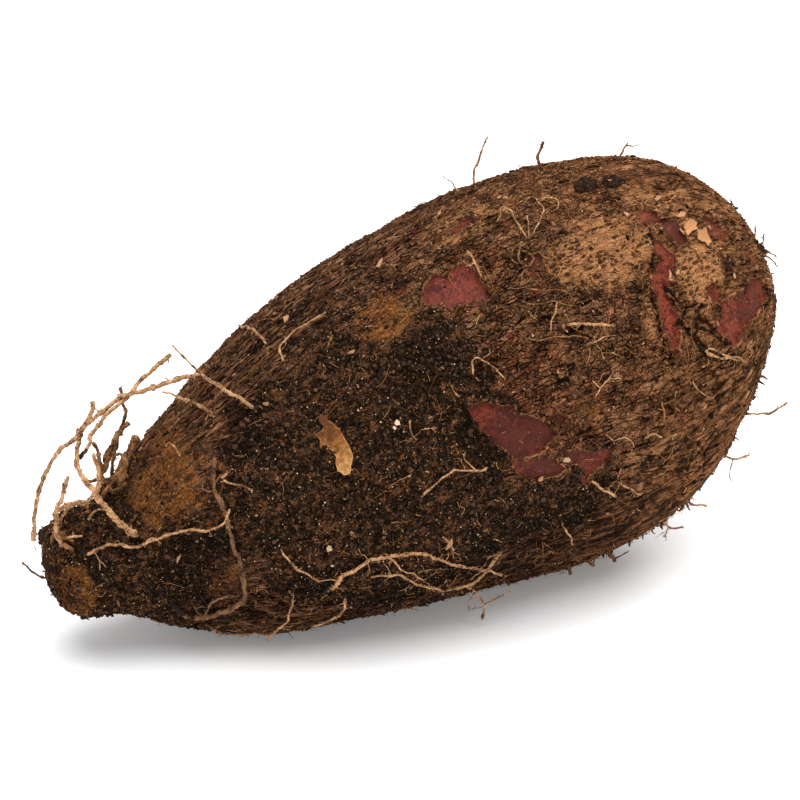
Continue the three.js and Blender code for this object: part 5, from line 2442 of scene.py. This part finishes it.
@dataclass
class Tufts(Scattered):
    """Bunches of short bristles, mostly along the tuber's outline.

    Attributes:
        stations: How many points each bristle has.
        bunches: The middle of each bunch, how many bristles it has and how long they are.
    """

    seed: int = 61
    stations: int = 8
    bunches: tuple[tuple[Natural, int, float], ...] = (
        ((222, 20), 7, 3.0), ((225, 28), 6, 2.6), ((228, 45), 12, 3.6), ((229, 62), 5, 2.6),
        ((231, 76), 4, 2.4), ((218, 112), 6, 4.2), ((210, 123), 8, 4.6), ((197, 137), 10, 5.0),
        ((189, 142), 9, 4.2), ((180, 146), 6, 3.6), ((172, 149), 8, 3.4), ((158, 146), 5, 3.0),
        ((1, 46), 12, 3.2), ((2, 104), 16, 3.2), ((5, 128), 14, 3.6), ((6, 95), 10, 2.8),
        ((1, -58), 12, 4.0), ((17, 116), 8, 2.8), ((10, -10), 14, 3.6), ((22, -16), 16, 4.2),
        ((30, -8), 10, 3.2), ((36, 2), 6, 3.0), ((52, -8), 5, 2.8), ((88, -20), 5, 2.6),
        ((108, -22), 5, 2.6), ((136, -24), 6, 2.8), ((120, 136), 7, 4.0), ((102, 128), 6, 3.2),
        ((45, 118), 6, 2.6), ((173, 86), 7, 2.6),
    )

    def build(self) -> Made:
        """Makes the bristles, as one piece."""
        random = self.random
        places, counts, reaches = zip(*self.bunches)
        along, around = np.repeat(np.array(places), counts, axis=0).T
        reach, total = np.repeat(reaches, counts), len(along)
        along = np.clip(along + random.normal(0, 1.6, total), 0.6, 238.0)
        seen = self.skin_map.survey(along, around + random.normal(0, 3.0, total))
        lean = unit(random.normal(size=(total, 3)))
        heading = unit(seen.outward * random.uniform(0.5, 1.6, (total, 1)) + lean)
        long = reach * random.uniform(0.3, 0.9, total)
        start, steps = seen.points(-0.3), self.stations
        lines = wander(random, start, heading, seen.outward, long, False, steps)
        thick = random.uniform(0, 1, (total, 1)) < 0.5
        bristle, hair = ((0.3, 0.75), (0.1, 0.28))
        wide = random.uniform(*bristle, (total, 1))
        thin = np.where(thick, wide, random.uniform(*hair, (total, 1)))
        across = np.repeat(np.cross(heading, lean)[:, None], steps, axis=1)
        lines[:, :, 2] = np.maximum(lines[:, :, 2], ROOT_GAP)
        points, faces = tubes(lines, thin * np.linspace(1.1, 0.4, steps), across, 4)
        tone = np.clip(random.normal(0.4, 0.18, total) - 0.15 * thick[:, 0], 0.05, 1)
        shape = Shape()
        shape.add(points, faces, tone=np.repeat(tone, len(points) // total))
        return settle(shape.piece("bristle_tufts", HAIR.material()))


@dataclass
class Chips(Scattered):
    """Pale chips of wood and dead root that lie on the skin.

    Attributes:
        placed: Where each lies, half its size in mm, degrees from lengthwise and how pale it is.
    """

    seed: int = 71
    placed: tuple[tuple[Natural, tuple[float, float], float, float], ...] = (
        ((78, -3), (2.7, 1.1), 60.0, 0.5), ((107, 4), (2.6, 0.9), 40.0, 0.5),
        ((85, 31), (1.6, 0.6), -30.0, 0.4), ((89, 59), (0.9, 0.7), 10.0, 0.95),
        ((88, 60), (0.6, 0.5), 50.0, 0.9), ((67, 92), (1.0, 0.8), 20.0, 0.7),
        ((179, 15), (1.2, 0.6), 15.0, 0.7), ((147, 5), (1.2, 0.6), 80.0, 0.55),
        ((148, 7), (0.8, 0.5), 10.0, 0.5), ((131, -3), (1.6, 0.4), 50.0, 0.5),
        ((138, 90), (1.3, 0.7), -20.0, 0.6), ((129, 93), (1.1, 0.6), 30.0, 0.5),
        ((101, 104), (2.2, 0.8), 60.0, 0.45), ((176, 30), (1.2, 0.7), -40.0, 0.6),
        ((189, 27), (1.5, 0.9), 20.0, 0.5), ((203, 40), (0.8, 0.5), 70.0, 0.5),
        ((206, 58), (0.9, 0.35), 80.0, 0.7), ((184, 38), (0.7, 0.3), 0.0, 0.5),
        ((116, 12), (1.1, 0.9), 0.0, 0.05), ((115, 15), (0.9, 0.8), 40.0, 0.1),
        ((45, 50), (1.4, 0.5), 20.0, 0.4), ((60, 30), (1.3, 0.5), -50.0, 0.35),
        ((24, 62), (1.2, 0.8), 0.0, 0.5), ((30, 84), (1.4, 0.6), 40.0, 0.4),
    )

    def build(self) -> Made:
        """Makes the chips, as one piece."""
        at, half, degrees, tone = (np.array(column, float) for column in zip(*self.placed))
        count = len(at)
        seen = self.skin_map.survey(*at.T)
        first, second = self._laid(*at.T, np.radians(degrees), 0.2, 0.2)
        x, y = self._uneven(count, 0.5)
        rise = 0.3 * self.random.uniform(-0.4, 1, (count, self.corners))
        flat = x * half[:, :1], y * half[:, 1:]
        chips = plates(seen.points(0.75), first, second, flat, rise, 0.2, 0.25)
        return self._settled("pale_chips", chips, FLAKE, "bark_flake", tone=tone)


@dataclass(frozen=True)
class Scrap:
    """A thin curled sheet that lies on the skin.

    Attributes:
        node: The node that it stands for.
        at: Its middle, in natural coordinates.
        outline: Its edge in mm, x lengthwise and y towards the top.
        lift: mm off the skin at its middle.
        thickness: mm through it.
        curl: mm that its ends rise.
        cell: mm between the points of its mesh.
        ragged: mm that its edge wanders.
        fade: How much darker it is for each mm towards the top.
        stands_for: Whether a node of its name is replaced by it.
    """

    node: str
    at: Natural
    outline: tuple[Natural, ...]
    lift: float
    thickness: float
    curl: float
    cell: float = 0.45
    ragged: float = 0.2
    fade: float = 0.0
    stands_for: bool = True

    def _sheet(self) -> tuple[Array, Array]:
        """Points and triangles of the flat outline, filled evenly.

        Returns:
            Rows of x and y, and triangles.
        """
        corners = np.array([(*p, 0.0) for p in (*self.outline, self.outline[0])], float)
        edge = straight(corners, self.cell)[:-1]
        noise = Noise(len(self.node))
        strays = [noise.layered(edge + 7 * k, 1.4, 2) for k in (1, 2)] + [np.zeros(len(edge))]
        edge = edge + self.ragged * np.stack(strays, axis=1)
        work = bmesh.new()
        ring = [work.verts.new(p) for p in edge]
        for a, b in zip(ring, ring[1:] + ring[:1]):
            work.edges.new((a, b))
        bmesh.ops.triangle_fill(work, edges=work.edges[:], use_beauty=True)
        for _ in range(3):
            long = [e for e in work.edges if e.calc_length() > self.cell * 1.6]
            bmesh.ops.subdivide_edges(work, edges=long, cuts=1)
            bmesh.ops.triangulate(work, faces=work.faces[:])
            inner = [v for v in work.verts if not v.is_boundary]
            bmesh.ops.smooth_vert(work, verts=inner, factor=0.5, use_axis_x=True, use_axis_y=True)
        bmesh.ops.recalc_face_normals(work, faces=work.faces[:])
        if sum(f.normal.z for f in work.faces) < 0:
            bmesh.ops.reverse_faces(work, faces=work.faces[:])
        work.verts.index_update()
        flat = np.array([v.co[:2] for v in work.verts])
        triangles = np.array([[v.index for v in f.verts] for f in work.faces])
        work.free()
        return flat, triangles

    def build(
        self, form: TuberForm, material: Material, slot: str, tone: float, folds: float
    ) -> Made:
        """Makes the sheet, in place of its node.

        Args:
            form: The tuber's form.
            material: Its finish.
            slot: Not used.
            tone: How pale it is.
            folds: mm that it ripples.

        Returns:
            The object.
        """
        flat, triangles = self._sheet()
        lengthwise, crosswise = form.reach(*self.at)
        x, y = flat.T
        reach = np.hypot(x, y).max()
        ribs = np.abs(np.sin(1.9 * x + 0.35 * y + 0.8 * np.sin(0.5 * y)))
        rise = self.curl * (np.hypot(x, y) / reach) ** 2
        rumpled = Noise(57).layered(np.stack([x, y, 0 * x], axis=1), 4.0, 3)
        ripple = folds * (rumpled + 0.06 * ribs)
        along = self.at[0] + x / lengthwise
        around = self.at[1] - y / crosswise
        top = form.off_skin(along, around, self.lift + rise + ripple + self.thickness)
        low = form.off_skin(along, around, self.lift + rise + ripple)
        count = len(flat)
        border = self._border(triangles)
        begin, end = border.T
        walls = np.stack([begin, begin + count, end + count, end], axis=1)
        grain = form.grain(along, around)
        # rim marks the border; the leaf's finish paints it paler as a highlight.
        rim = np.zeros(count)
        rim[border] = 1.0
        shape = Shape()
        shape.add(
            np.concatenate([top, low]), [triangles, triangles[:, ::-1] + count, walls],
            rim=np.tile(rim, 2), tone=np.tile(tone - self.fade * y, 2),
            rib=np.tile(smoothstep(1 - ribs, 0.55, 1.0), 2), grain=np.concatenate([grain, grain]),
            core=1 - tone, fresh=1.0, edge=-5.0,
        )
        replaced = [self.node] if self.stands_for else []
        return settle(shape.piece(f"{self.node}_curled", material), replaced)

    @staticmethod
    def _border(triangles: Array) -> Array:
        """The edges that only one triangle has, in its own direction."""
        edges = np.concatenate([triangles[:, [0, 1]], triangles[:, [1, 2]], triangles[:, [2, 0]]])
        pairs = {tuple(e) for e in edges.tolist()}
        return np.array([e for e in edges.tolist() if (e[1], e[0]) not in pairs])


@dataclass
class Scraps:
    """The dead leaf, the papery flakes and the lifted bark."""

    form: TuberForm

    def build(self) -> None:
        """Makes the scraps."""
        leaf = Scrap(
            "dead_leaf_scrap", (72, 57),
            ((-1.6, 8.4), (-1, 8.7), (1, 8.1), (0.4, 7.2), (1.6, 5.6), (2.6, 3.6), (3.3, 1),
             (4, -2), (4.4, -4.2), (4.3, -5.4), (3.4, -7), (2.9, -8.4), (2.3, -9.1), (0.7, -8.9),
             (0.2, -8.2), (-0.8, -7), (-1, -5.3), (-0.5, -3.4), (-0.7, -2.4), (-1.3, -1),
             (-2, 0), (-2.2, 1.2), (-3.4, 1.4), (-3.8, 0.7), (-4.1, 1.5), (-3.6, 2.9),
             (-3.9, 4.2), (-4.6, 5.6), (-3.7, 4.8), (-2, 5.4), (-1.3, 6.2), (-1.7, 7.2)),
            0.9, 0.25, 2.2, 0.35, 0.16, 0.03)
        leaf.build(self.form, LeafFinish().material(), "dead_leaf", 0.5, 1.3)
        paper = FLAKE.material()
        papery = (
            Scrap("bark_flake_upper", (192, 40),
                  ((-1.6, 0.8), (0.6, 1.6), (3.4, 2.9), (4.3, 2.2), (4.9, 1), (4.1, 0.2),
                   (4.3, -0.8), (2.4, -0.9), (1, -1.7), (-0.4, -1.2)),
                  0.9, 0.16, 1.5, 0.3, 0.1, 0.05),
            Scrap("bark_flake_lower", (198, 45),
                  ((-2.1, 4), (-0.3, 3.5), (1.4, 4.2), (1.7, 2), (2.3, -0.6), (1.2, -0.9),
                   (0.6, -1.6), (0.1, 0), (-1.2, 0.2), (-2.9, 1.1), (-2.3, 2.5)),
                  0.9, 0.16, 1.5, 0.3, 0.1, 0.05),
            Scrap("papery_flake_small", (194, 35),
                  ((-2.4, 0.5), (-1, 0.8), (0.1, 1.6), (1.9, 1), (1.1, 0), (-0.8, -1.6),
                   (-1.9, -0.9)),
                  0.6, 0.16, 0.5, 0.3, 0.1, 0.0, False),
            Scrap("papery_flake_red", (184, 51),
                  ((-1, 0.1), (0.4, 0.7), (1.5, 0), (0.9, -1.4), (-0.3, -0.8), (-1, -1)),
                  0.3, 0.16, 0.5, 0.25, 0.1, 0.0, False),
        )
        for flake in papery:
            flake.build(self.form, paper, "bark_flake", 0.44, 0.5)
        barky = BarkFinish("lifted_bark").material()
        slabs = (
            Scrap("bark_flap", (195, 22),
                  ((-4.4, 1), (-2, 1.8), (0, 1.5), (2.4, 2.2), (4.5, 1), (3.6, -0.6), (3, -1.7),
                   (0.4, -1.2), (-2.5, -2)),
                  0.7, 0.7, 1.7, 0.4, 0.35),
            Scrap("curled_shard", (139, 14),
                  ((-2.6, 0.6), (0, 1.6), (2.8, 0.5), (1.4, -0.9), (-1.4, -0.8)),
                  0.8, 0.5, 1.3, 0.35, 0.25, 0.0, False),
        )
        for slab in slabs:
            slab.build(self.form, barky, "bark", 0.35 if slab.node == "bark_flap" else 0.9, 0.8)


@dataclass(frozen=True)
class Clod:
    """A lump of caked soil with loose crumbs on it.

    Attributes:
        node: The node that it stands for.
        at: Its middle, in natural coordinates.
        half: Half its size along, across and off the skin, in mm.
        crumbs: How many loose crumbs cling to it.
    """

    node: str
    at: Natural
    half: tuple[float, float, float]
    crumbs: int = 420

    def build(self, form: TuberForm, material: Material, seed: int) -> Made:
        """Makes the clod, in place of its node.

        Args:
            form: The tuber's form.
            material: Its finish.
            seed: Tells its lumps from another clod's.

        Returns:
            The object.
        """
        work = bmesh.new()
        bmesh.ops.create_icosphere(work, subdivisions=5, radius=1.0)
        ball = np.array([v.co[:] for v in work.verts])
        triangles = np.array([[v.index for v in f.verts] for f in work.faces])
        work.free()
        size = np.array(self.half, float)
        spread = ball * size
        noise = Noise(seed)
        _, gap, own = noise.cells(spread, 1.2)
        push = 0.42 * noise.layered(spread, 2.6, 3) * size.mean()
        push = push + 0.3 * smoothstep(gap, 0, 0.3) + 0.4 * (own - 0.5)
        spread = spread + ball * push[:, None]
        lengthwise, crosswise = form.reach(*self.at)
        along = self.at[0] + spread[:, 0] / lengthwise
        around = self.at[1] - spread[:, 1] / crosswise
        points = form.off_skin(along, around, spread[:, 2] + 0.1 * size[2])
        shape = Shape()
        shape.add(points, [triangles], tone=0.34 + 0.22 * own)
        random = np.random.default_rng(seed)
        chosen = random.integers(0, len(points), self.crumbs)
        size = random.uniform(0.2, 0.55, self.crumbs)
        outward = unit(points[chosen] - points.mean(axis=0))
        grains, sides = octahedra(points[chosen] + outward * 0.1, outward, size, random)
        tone = np.repeat(random.uniform(0.3, 0.66, self.crumbs), 6)
        shape.add(grains, sides, tone=tone)
        made = shape.piece(f"{self.node}_crumbly", material, False)
        return settle(made, [self.node])


@dataclass
class Clods:
    """The larger lumps of soil."""

    form: TuberForm
    seed: int = 200

    def build(self) -> None:
        """Makes the clods."""
        material = SOIL_CRUMB.material()
        clods = (
            Clod("soil_clod_top_large", (171, 14), (3.4, 2.6, 1.6)),
            Clod("soil_clod_top_small", (180, 15), (2.7, 2.4, 1.5)),
            Clod("soil_clod_neck", (3, -60), (2.2, 2.8, 1.7)),
            Clod("soil_clod_round_end", (228, 46), (1.5, 1.8, 1.1)),
        )
        for number, clod in enumerate(clods):
            clod.build(self.form, material, self.seed + number)


def towards(azimuth: float, elevation: float) -> Vector:
    """A direction given in degrees round from the front and above the floor."""
    a, e = math.radians(azimuth), math.radians(elevation)
    return Vector((math.sin(a) * math.cos(e), -math.cos(a) * math.cos(e), math.sin(e)))


@dataclass(frozen=True)
class Sun:
    """One soft light that is as strong everywhere.

    Attributes:
        name: Its name.
        azimuth: Degrees round from the front.
        elevation: Degrees above the floor.
        soft: Degrees across, as seen from the tuber.
        power: Watts for each square metre.
    """

    name: str
    azimuth: float
    elevation: float
    soft: float
    power: float

    def build(self) -> None:
        """Makes the light."""
        lamp = bpy.data.lights.new(self.name, "SUN")
        lamp.angle = math.radians(self.soft)
        lamp.energy = self.power
        made = bpy.data.objects.new(self.name, lamp)
        away = towards(self.azimuth, self.elevation)
        made.rotation_euler = away.to_track_quat("Z", "Y").to_euler()
        bpy.context.scene.collection.objects.link(made)


@dataclass
class Studio:
    """The floor, the soft lights and the camera.

    Attributes:
        form: The tuber's form.
        azimuth: Degrees that the camera is swung round from the front, towards -X below 0.
        elevation: Degrees that it looks down.
        lens: Its focal length, in mm.
        sensor: The width that it sees across, in mm.
        distance: mm from the camera to the point that it looks at.
        target: That point, in the form's own frame, in mm.
        suns: The lights.
        glow: The strength of the white world.
        half: mm from the middle of the floor to its edge.
        drop: mm that it lies below the tuber's foot.
    """

    form: TuberForm
    azimuth: float = -28.0
    elevation: float = 21.0
    lens: float = 100.0
    sensor: float = 36.0
    distance: float = 685.7
    target: Routed = (-5.4, 2.7, 61.7)
    suns: tuple[Sun, ...] = (
        Sun("key", -8.0, 76.0, 58.0, 2.85), Sun("rim", 112.0, 50.0, 40.0, 1.25),
    )
    glow: float = 0.62
    half: float = 6000.0
    drop: float = 0.2

    def _camera(self) -> None:
        """Makes the camera."""
        back = towards(self.azimuth, self.elevation)
        aim = (Vector(self.target) + Vector((*self.form.shift, 0.0))) * MM
        lens = bpy.data.cameras.new("camera")
        lens.lens = self.lens
        lens.sensor_width = self.sensor
        camera = bpy.data.objects.new("camera", lens)
        camera.location = aim + back * self.distance * MM
        camera.rotation_euler = back.to_track_quat("Z", "Y").to_euler()
        bpy.context.scene.collection.objects.link(camera)
        bpy.context.scene.camera = camera

    def _world(self) -> None:
        """Makes the white world."""
        world = bpy.data.worlds.new("studio")
        world.use_nodes = True
        sockets = world.node_tree.nodes["Background"].inputs
        sockets["Color"].default_value = (1, 1, 1, 1)
        sockets["Strength"].default_value = self.glow
        bpy.context.scene.world = world

    def build(self) -> None:
        """Makes the floor, lights and camera."""
        sides = ((-1, -1), (1, -1), (1, 1), (-1, 1))
        corners = np.array([(x * self.half, y * self.half, -self.drop) for x, y in sides])
        shape = Shape()
        shape.add(corners, [np.array([[0, 1, 2, 3]])])
        floor = shape.piece("floor", FloorFinish().material(), False)
        floor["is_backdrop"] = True
        self._world()
        for sun in self.suns:
            sun.build()
        bpy.context.scene.view_settings.view_transform = "Standard"
        self._camera()


def skin_map(form: TuberForm) -> SkinMap:
    """Lays out the soil, the bare patches and the kinds of bark.

    Args:
        form: The tuber's form.

    Returns:
        The map.
    """
    patches = (
        BarePatch(((125, 22), (126, 25), (126, 30), (126, 33), (125, 37), (123, 37), (122, 36),
                   (120, 36), (117, 35), (114, 34), (113, 31), (110, 30), (108, 28), (111, 23),
                   (114, 22), (116, 21), (117, 23), (118, 24), (121, 22), (123, 22)), 0.45),
        BarePatch(((109, 65), (111, 64), (115, 65), (118, 67), (122, 69), (122, 71), (126, 73),
                   (130, 76), (132, 78), (134, 80), (135, 82), (132, 83), (131, 85), (126, 85),
                   (121, 84), (119, 82), (118, 80), (115, 77), (114, 74), (112, 72), (110, 68)),
                  0.5, 0.95),
        BarePatch(((120, 84), (122, 84), (126, 86), (130, 87), (135, 89), (137, 92), (138, 93),
                   (136, 94), (132, 94), (129, 93), (126, 92), (123, 90), (121, 88)), 0.7, 0.9),
        BarePatch(((135, 86), (139, 88), (142, 88), (144, 89), (147, 91), (150, 91), (153, 92),
                   (155, 94), (154, 96), (151, 97), (149, 98), (147, 99), (148, 102), (146, 101),
                   (144, 99), (145, 96), (143, 94), (140, 91), (137, 88)), 0.9, 0.9),
        BarePatch(((133, 76), (135, 75), (138, 78), (138, 80), (136, 80), (134, 78)), 0.6, 0.7),
        BarePatch(((181, 28), (184, 30), (186, 33), (185, 35), (182, 36), (179, 36), (179, 33),
                   (180, 30)), 0.7, 0.75),
        BarePatch(((185, 34), (189, 35), (192, 36), (191, 39), (192, 42), (191, 44), (188, 44),
                   (186, 41), (185, 38)), 0.6, 0.9),
        BarePatch(((181, 40), (183, 41), (183, 43), (184, 45), (186, 47), (186, 49), (184, 48),
                   (182, 47), (180, 45), (180, 42)), 0.5),
        BarePatch(((180, 47), (182, 46), (184, 48), (184, 50), (182, 52), (182, 53), (183, 55),
                   (181, 55), (179, 56), (180, 58), (181, 60), (182, 63), (182, 66), (182, 68),
                   (181, 70), (180, 72), (180, 74), (179, 75), (178, 73), (177, 70), (176, 66),
                   (175, 63), (175, 60), (176, 57), (175, 54), (175, 51), (176, 50), (178, 48)),
                  0.45),
        BarePatch(((201, 36), (204, 35), (207, 38), (210, 42), (210, 44), (207, 46), (204, 44),
                   (201, 41)), 1.3, 0.8),
        BarePatch(((212, 48), (217, 49), (219, 52), (221, 57), (218, 57), (215, 54), (213, 50)),
                  1.2, 0.5),
        BarePatch(((198, 64), (205, 64), (209, 63), (213, 61), (219, 62), (221, 68), (220, 72),
                   (215, 74), (209, 76), (206, 78), (202, 79), (199, 76), (196, 73), (195, 70),
                   (197, 68)), 1.0, 0.95),
        BarePatch(((193, 58), (197, 58), (200, 60), (200, 63), (197, 64), (194, 62)), 0.9, 0.85),
        BarePatch(((137, 5), (136, 8), (133, 9), (132, 10), (130, 11), (128, 9), (125, 8),
                   (125, 6), (127, 5), (129, 7), (131, 7), (133, 5)), 0.6, 0.75),
        BarePatch(((136, 29), (138, 31), (139, 33), (138, 34), (136, 31)), 0.6, 0.75),
        BarePatch(((143, 30), (144, 31), (145, 35), (143, 36), (141, 36), (141, 38), (141, 43),
                   (139, 44), (138, 42), (140, 40), (139, 36), (141, 33)), 0.6, 0.8),
    )
    soiled = (
        Blot((78, 62), (46, 42)), Blot((101, 48), (19, 20), 1.0), Blot((104, 78), (16, 14), 1.2),
        Blot((18, 95), (26, 40)), Blot((90, 104), (40, 22), 0.9), Blot((205, 54), (6, 4), 0.6),
        Blot((8, 0), (10, 30)), Blot((75, -110), (50, 45), 0.8), Blot((150, -150), (40, 30), 0.6),
        Blot((138, 104), (26, 12), 0.9), Blot((3, 104), (12, 20)), Blot((84, -2), (44, 20), 0.3),
        Blot((20, 58), (9, 12), 0.45), Blot((105, 104), (12, 9), 0.4),
    )
    rubbed = (
        Blot((97, 25), (9, 9), 1.35), Blot((31, 30), (16, 18), 1.1), Blot((72, 23), (5, 4), 0.7),
        Blot((93, 34), (5, 5), 0.7), Blot((120, 38), (6, 6), 0.5), Blot((50, 74), (6, 6), 0.5),
        Blot((4, 114), (7, 16), 1.2), Blot((66, 37), (9, 9), 0.5), Blot((63, 74), (9, 10), 0.6),
        Blot((84, 50), (8, 11), 0.55), Blot((40, 104), (9, 10), 0.7), Blot((147, 77), (7, 6), 0.7),
        Blot((120, -80), (12, 10), 0.8), Blot((165, -110), (14, 10), 0.8),
    )
    netted = (
        Blot((165, 38), (19, 13), 1.05), Blot((194, 53), (9, 12), 1.2),
        Blot((189, 67), (6, 9), 0.45), Blot((190, 24), (16, 8), 0.7),
        Blot((136, 8), (22, 13), 0.66), Blot((100, 8), (14, 8), 0.4),
        Blot((172, 61), (5, 12), 0.65), Blot((180, -60), (20, 16), 0.8),
    )
    ridged = (
        Blot((60, 6), (32, 22), 1.0), Blot((88, -14), (52, 16), 0.8),
        Blot((205, 96), (24, 18), 1.1), Blot((185, 108), (24, 12)), Blot((40, -30), (24, 20)),
    )
    dusky = (
        Blot((125, 77), (15, 9), 1.0), Blot((188, 39), (6, 6), 1.2), Blot((136, 89), (16, 6), 0.7),
        Blot((124, 58), (12, 10), 0.8), Blot((212, 68), (9, 9), 0.75),
    )
    dulled = (Blot((160, 56), (11, 11)), Blot((150, 97), (22, 10)), Blot((150, 40), (10, 22), 0.8))
    cores = (
        Blot((102, 46), (11, 10), 0.85), Blot((114, 72), (12, 10)), Blot((128, 112), (18, 9)),
        Blot((52, 33), (9, 9), 0.9), Blot((33, 93), (12, 14)), Blot((4, 100), (8, 16)),
        Blot((207, 54), (6, 6), 0.45), Blot((84, 2), (30, 14), 0.45), Blot((58, -2), (30, 14), 0.5),
        Blot((142, 134), (36, 18), 1.15), Blot((75, 134), (58, 16), 0.6),
        Blot((136, 120), (34, 14), 1.2), Blot((123, 58), (10, 10), 0.6),
        Blot((178, 45), (2, 5), 1.0),
    )
    furrows = (
        Furrow(((180, 55), (181, 58), (183, 62), (184, 63), (182, 65), (184, 68), (187, 72),
                (190, 77)), 1.0),
        Furrow(((191, 63), (189, 64), (189, 66), (192, 68), (194, 71), (197, 75), (201, 78)), 1.0),
        Furrow(((188, 66), (188, 69), (187, 70), (189, 74), (192, 77)), 0.7),
        Furrow(((189, 69), (191, 70), (194, 72), (196, 73)), 0.6),
        Furrow(((201, 78), (198, 80), (194, 79)), 0.6),
        Furrow(((183, 62), (185, 62), (188, 62), (189, 62)), 0.6),
        Furrow(((181, 34), (180, 43), (175, 50), (174, 57), (174, 64), (175, 70)), 0.55),
        Furrow(((213, 61), (211, 65), (212, 70)), 0.3),
        Furrow(((53, 116), (67, 122), (85, 127), (106, 132)), 0.6),
        Furrow(((49, 125), (69, 133), (86, 139), (112, 148)), 0.6),
        Furrow(((60, 110), (78, 119), (96, 121), (116, 124)), 0.5),
        Furrow(((120, 135), (139, 137), (163, 141), (179, 146)), 0.5),
        Furrow(((74, -12), (85, -14), (95, -12), (103, -6)), 0.6),
        Furrow(((72, -4), (83, -4), (93, -3), (102, 1)), 0.5),
        Furrow(((85, -8), (95, -8), (107, -5), (117, -2)), 0.5),
    )
    sunken = (Blot((85, -14), (46, 30), 1.5), Blot((20, -20), (14, 20), 0.4))
    return SkinMap(
        form, patches, soiled, rubbed, netted, ridged, dusky, dulled, cores, furrows, sunken
    )


def main() -> None:
    """Builds the yam, sub-assembly by sub-assembly."""
    logging.basicConfig(level=logging.INFO, format="%(message)s", force=True)
    form = TuberForm.in_frame("tuber")
    surface = skin_map(form)
    Studio(form).build()
    TuberSkin(surface).build()
    for scattered in (SoilCrust, SoilFlakes, BarkScales, PeelingEdges, FineRootlets):
        scattered(surface).build()
    Roots(form).build()
    Tufts(surface).build()
    Chips(surface).build()
    Scraps(form).build()
    Clods(form).build()
    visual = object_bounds()
    for label, made, solid in (("low", visual[0], CAD_BOX[0]), ("high", visual[1], CAD_BOX[1])):
        moves = [round((a - b) / MM, 2) for a, b in zip(made, solid)]
        LOG.info("%s corner moves by %s mm", label, moves)


if __name__ == "__main__":
    main()
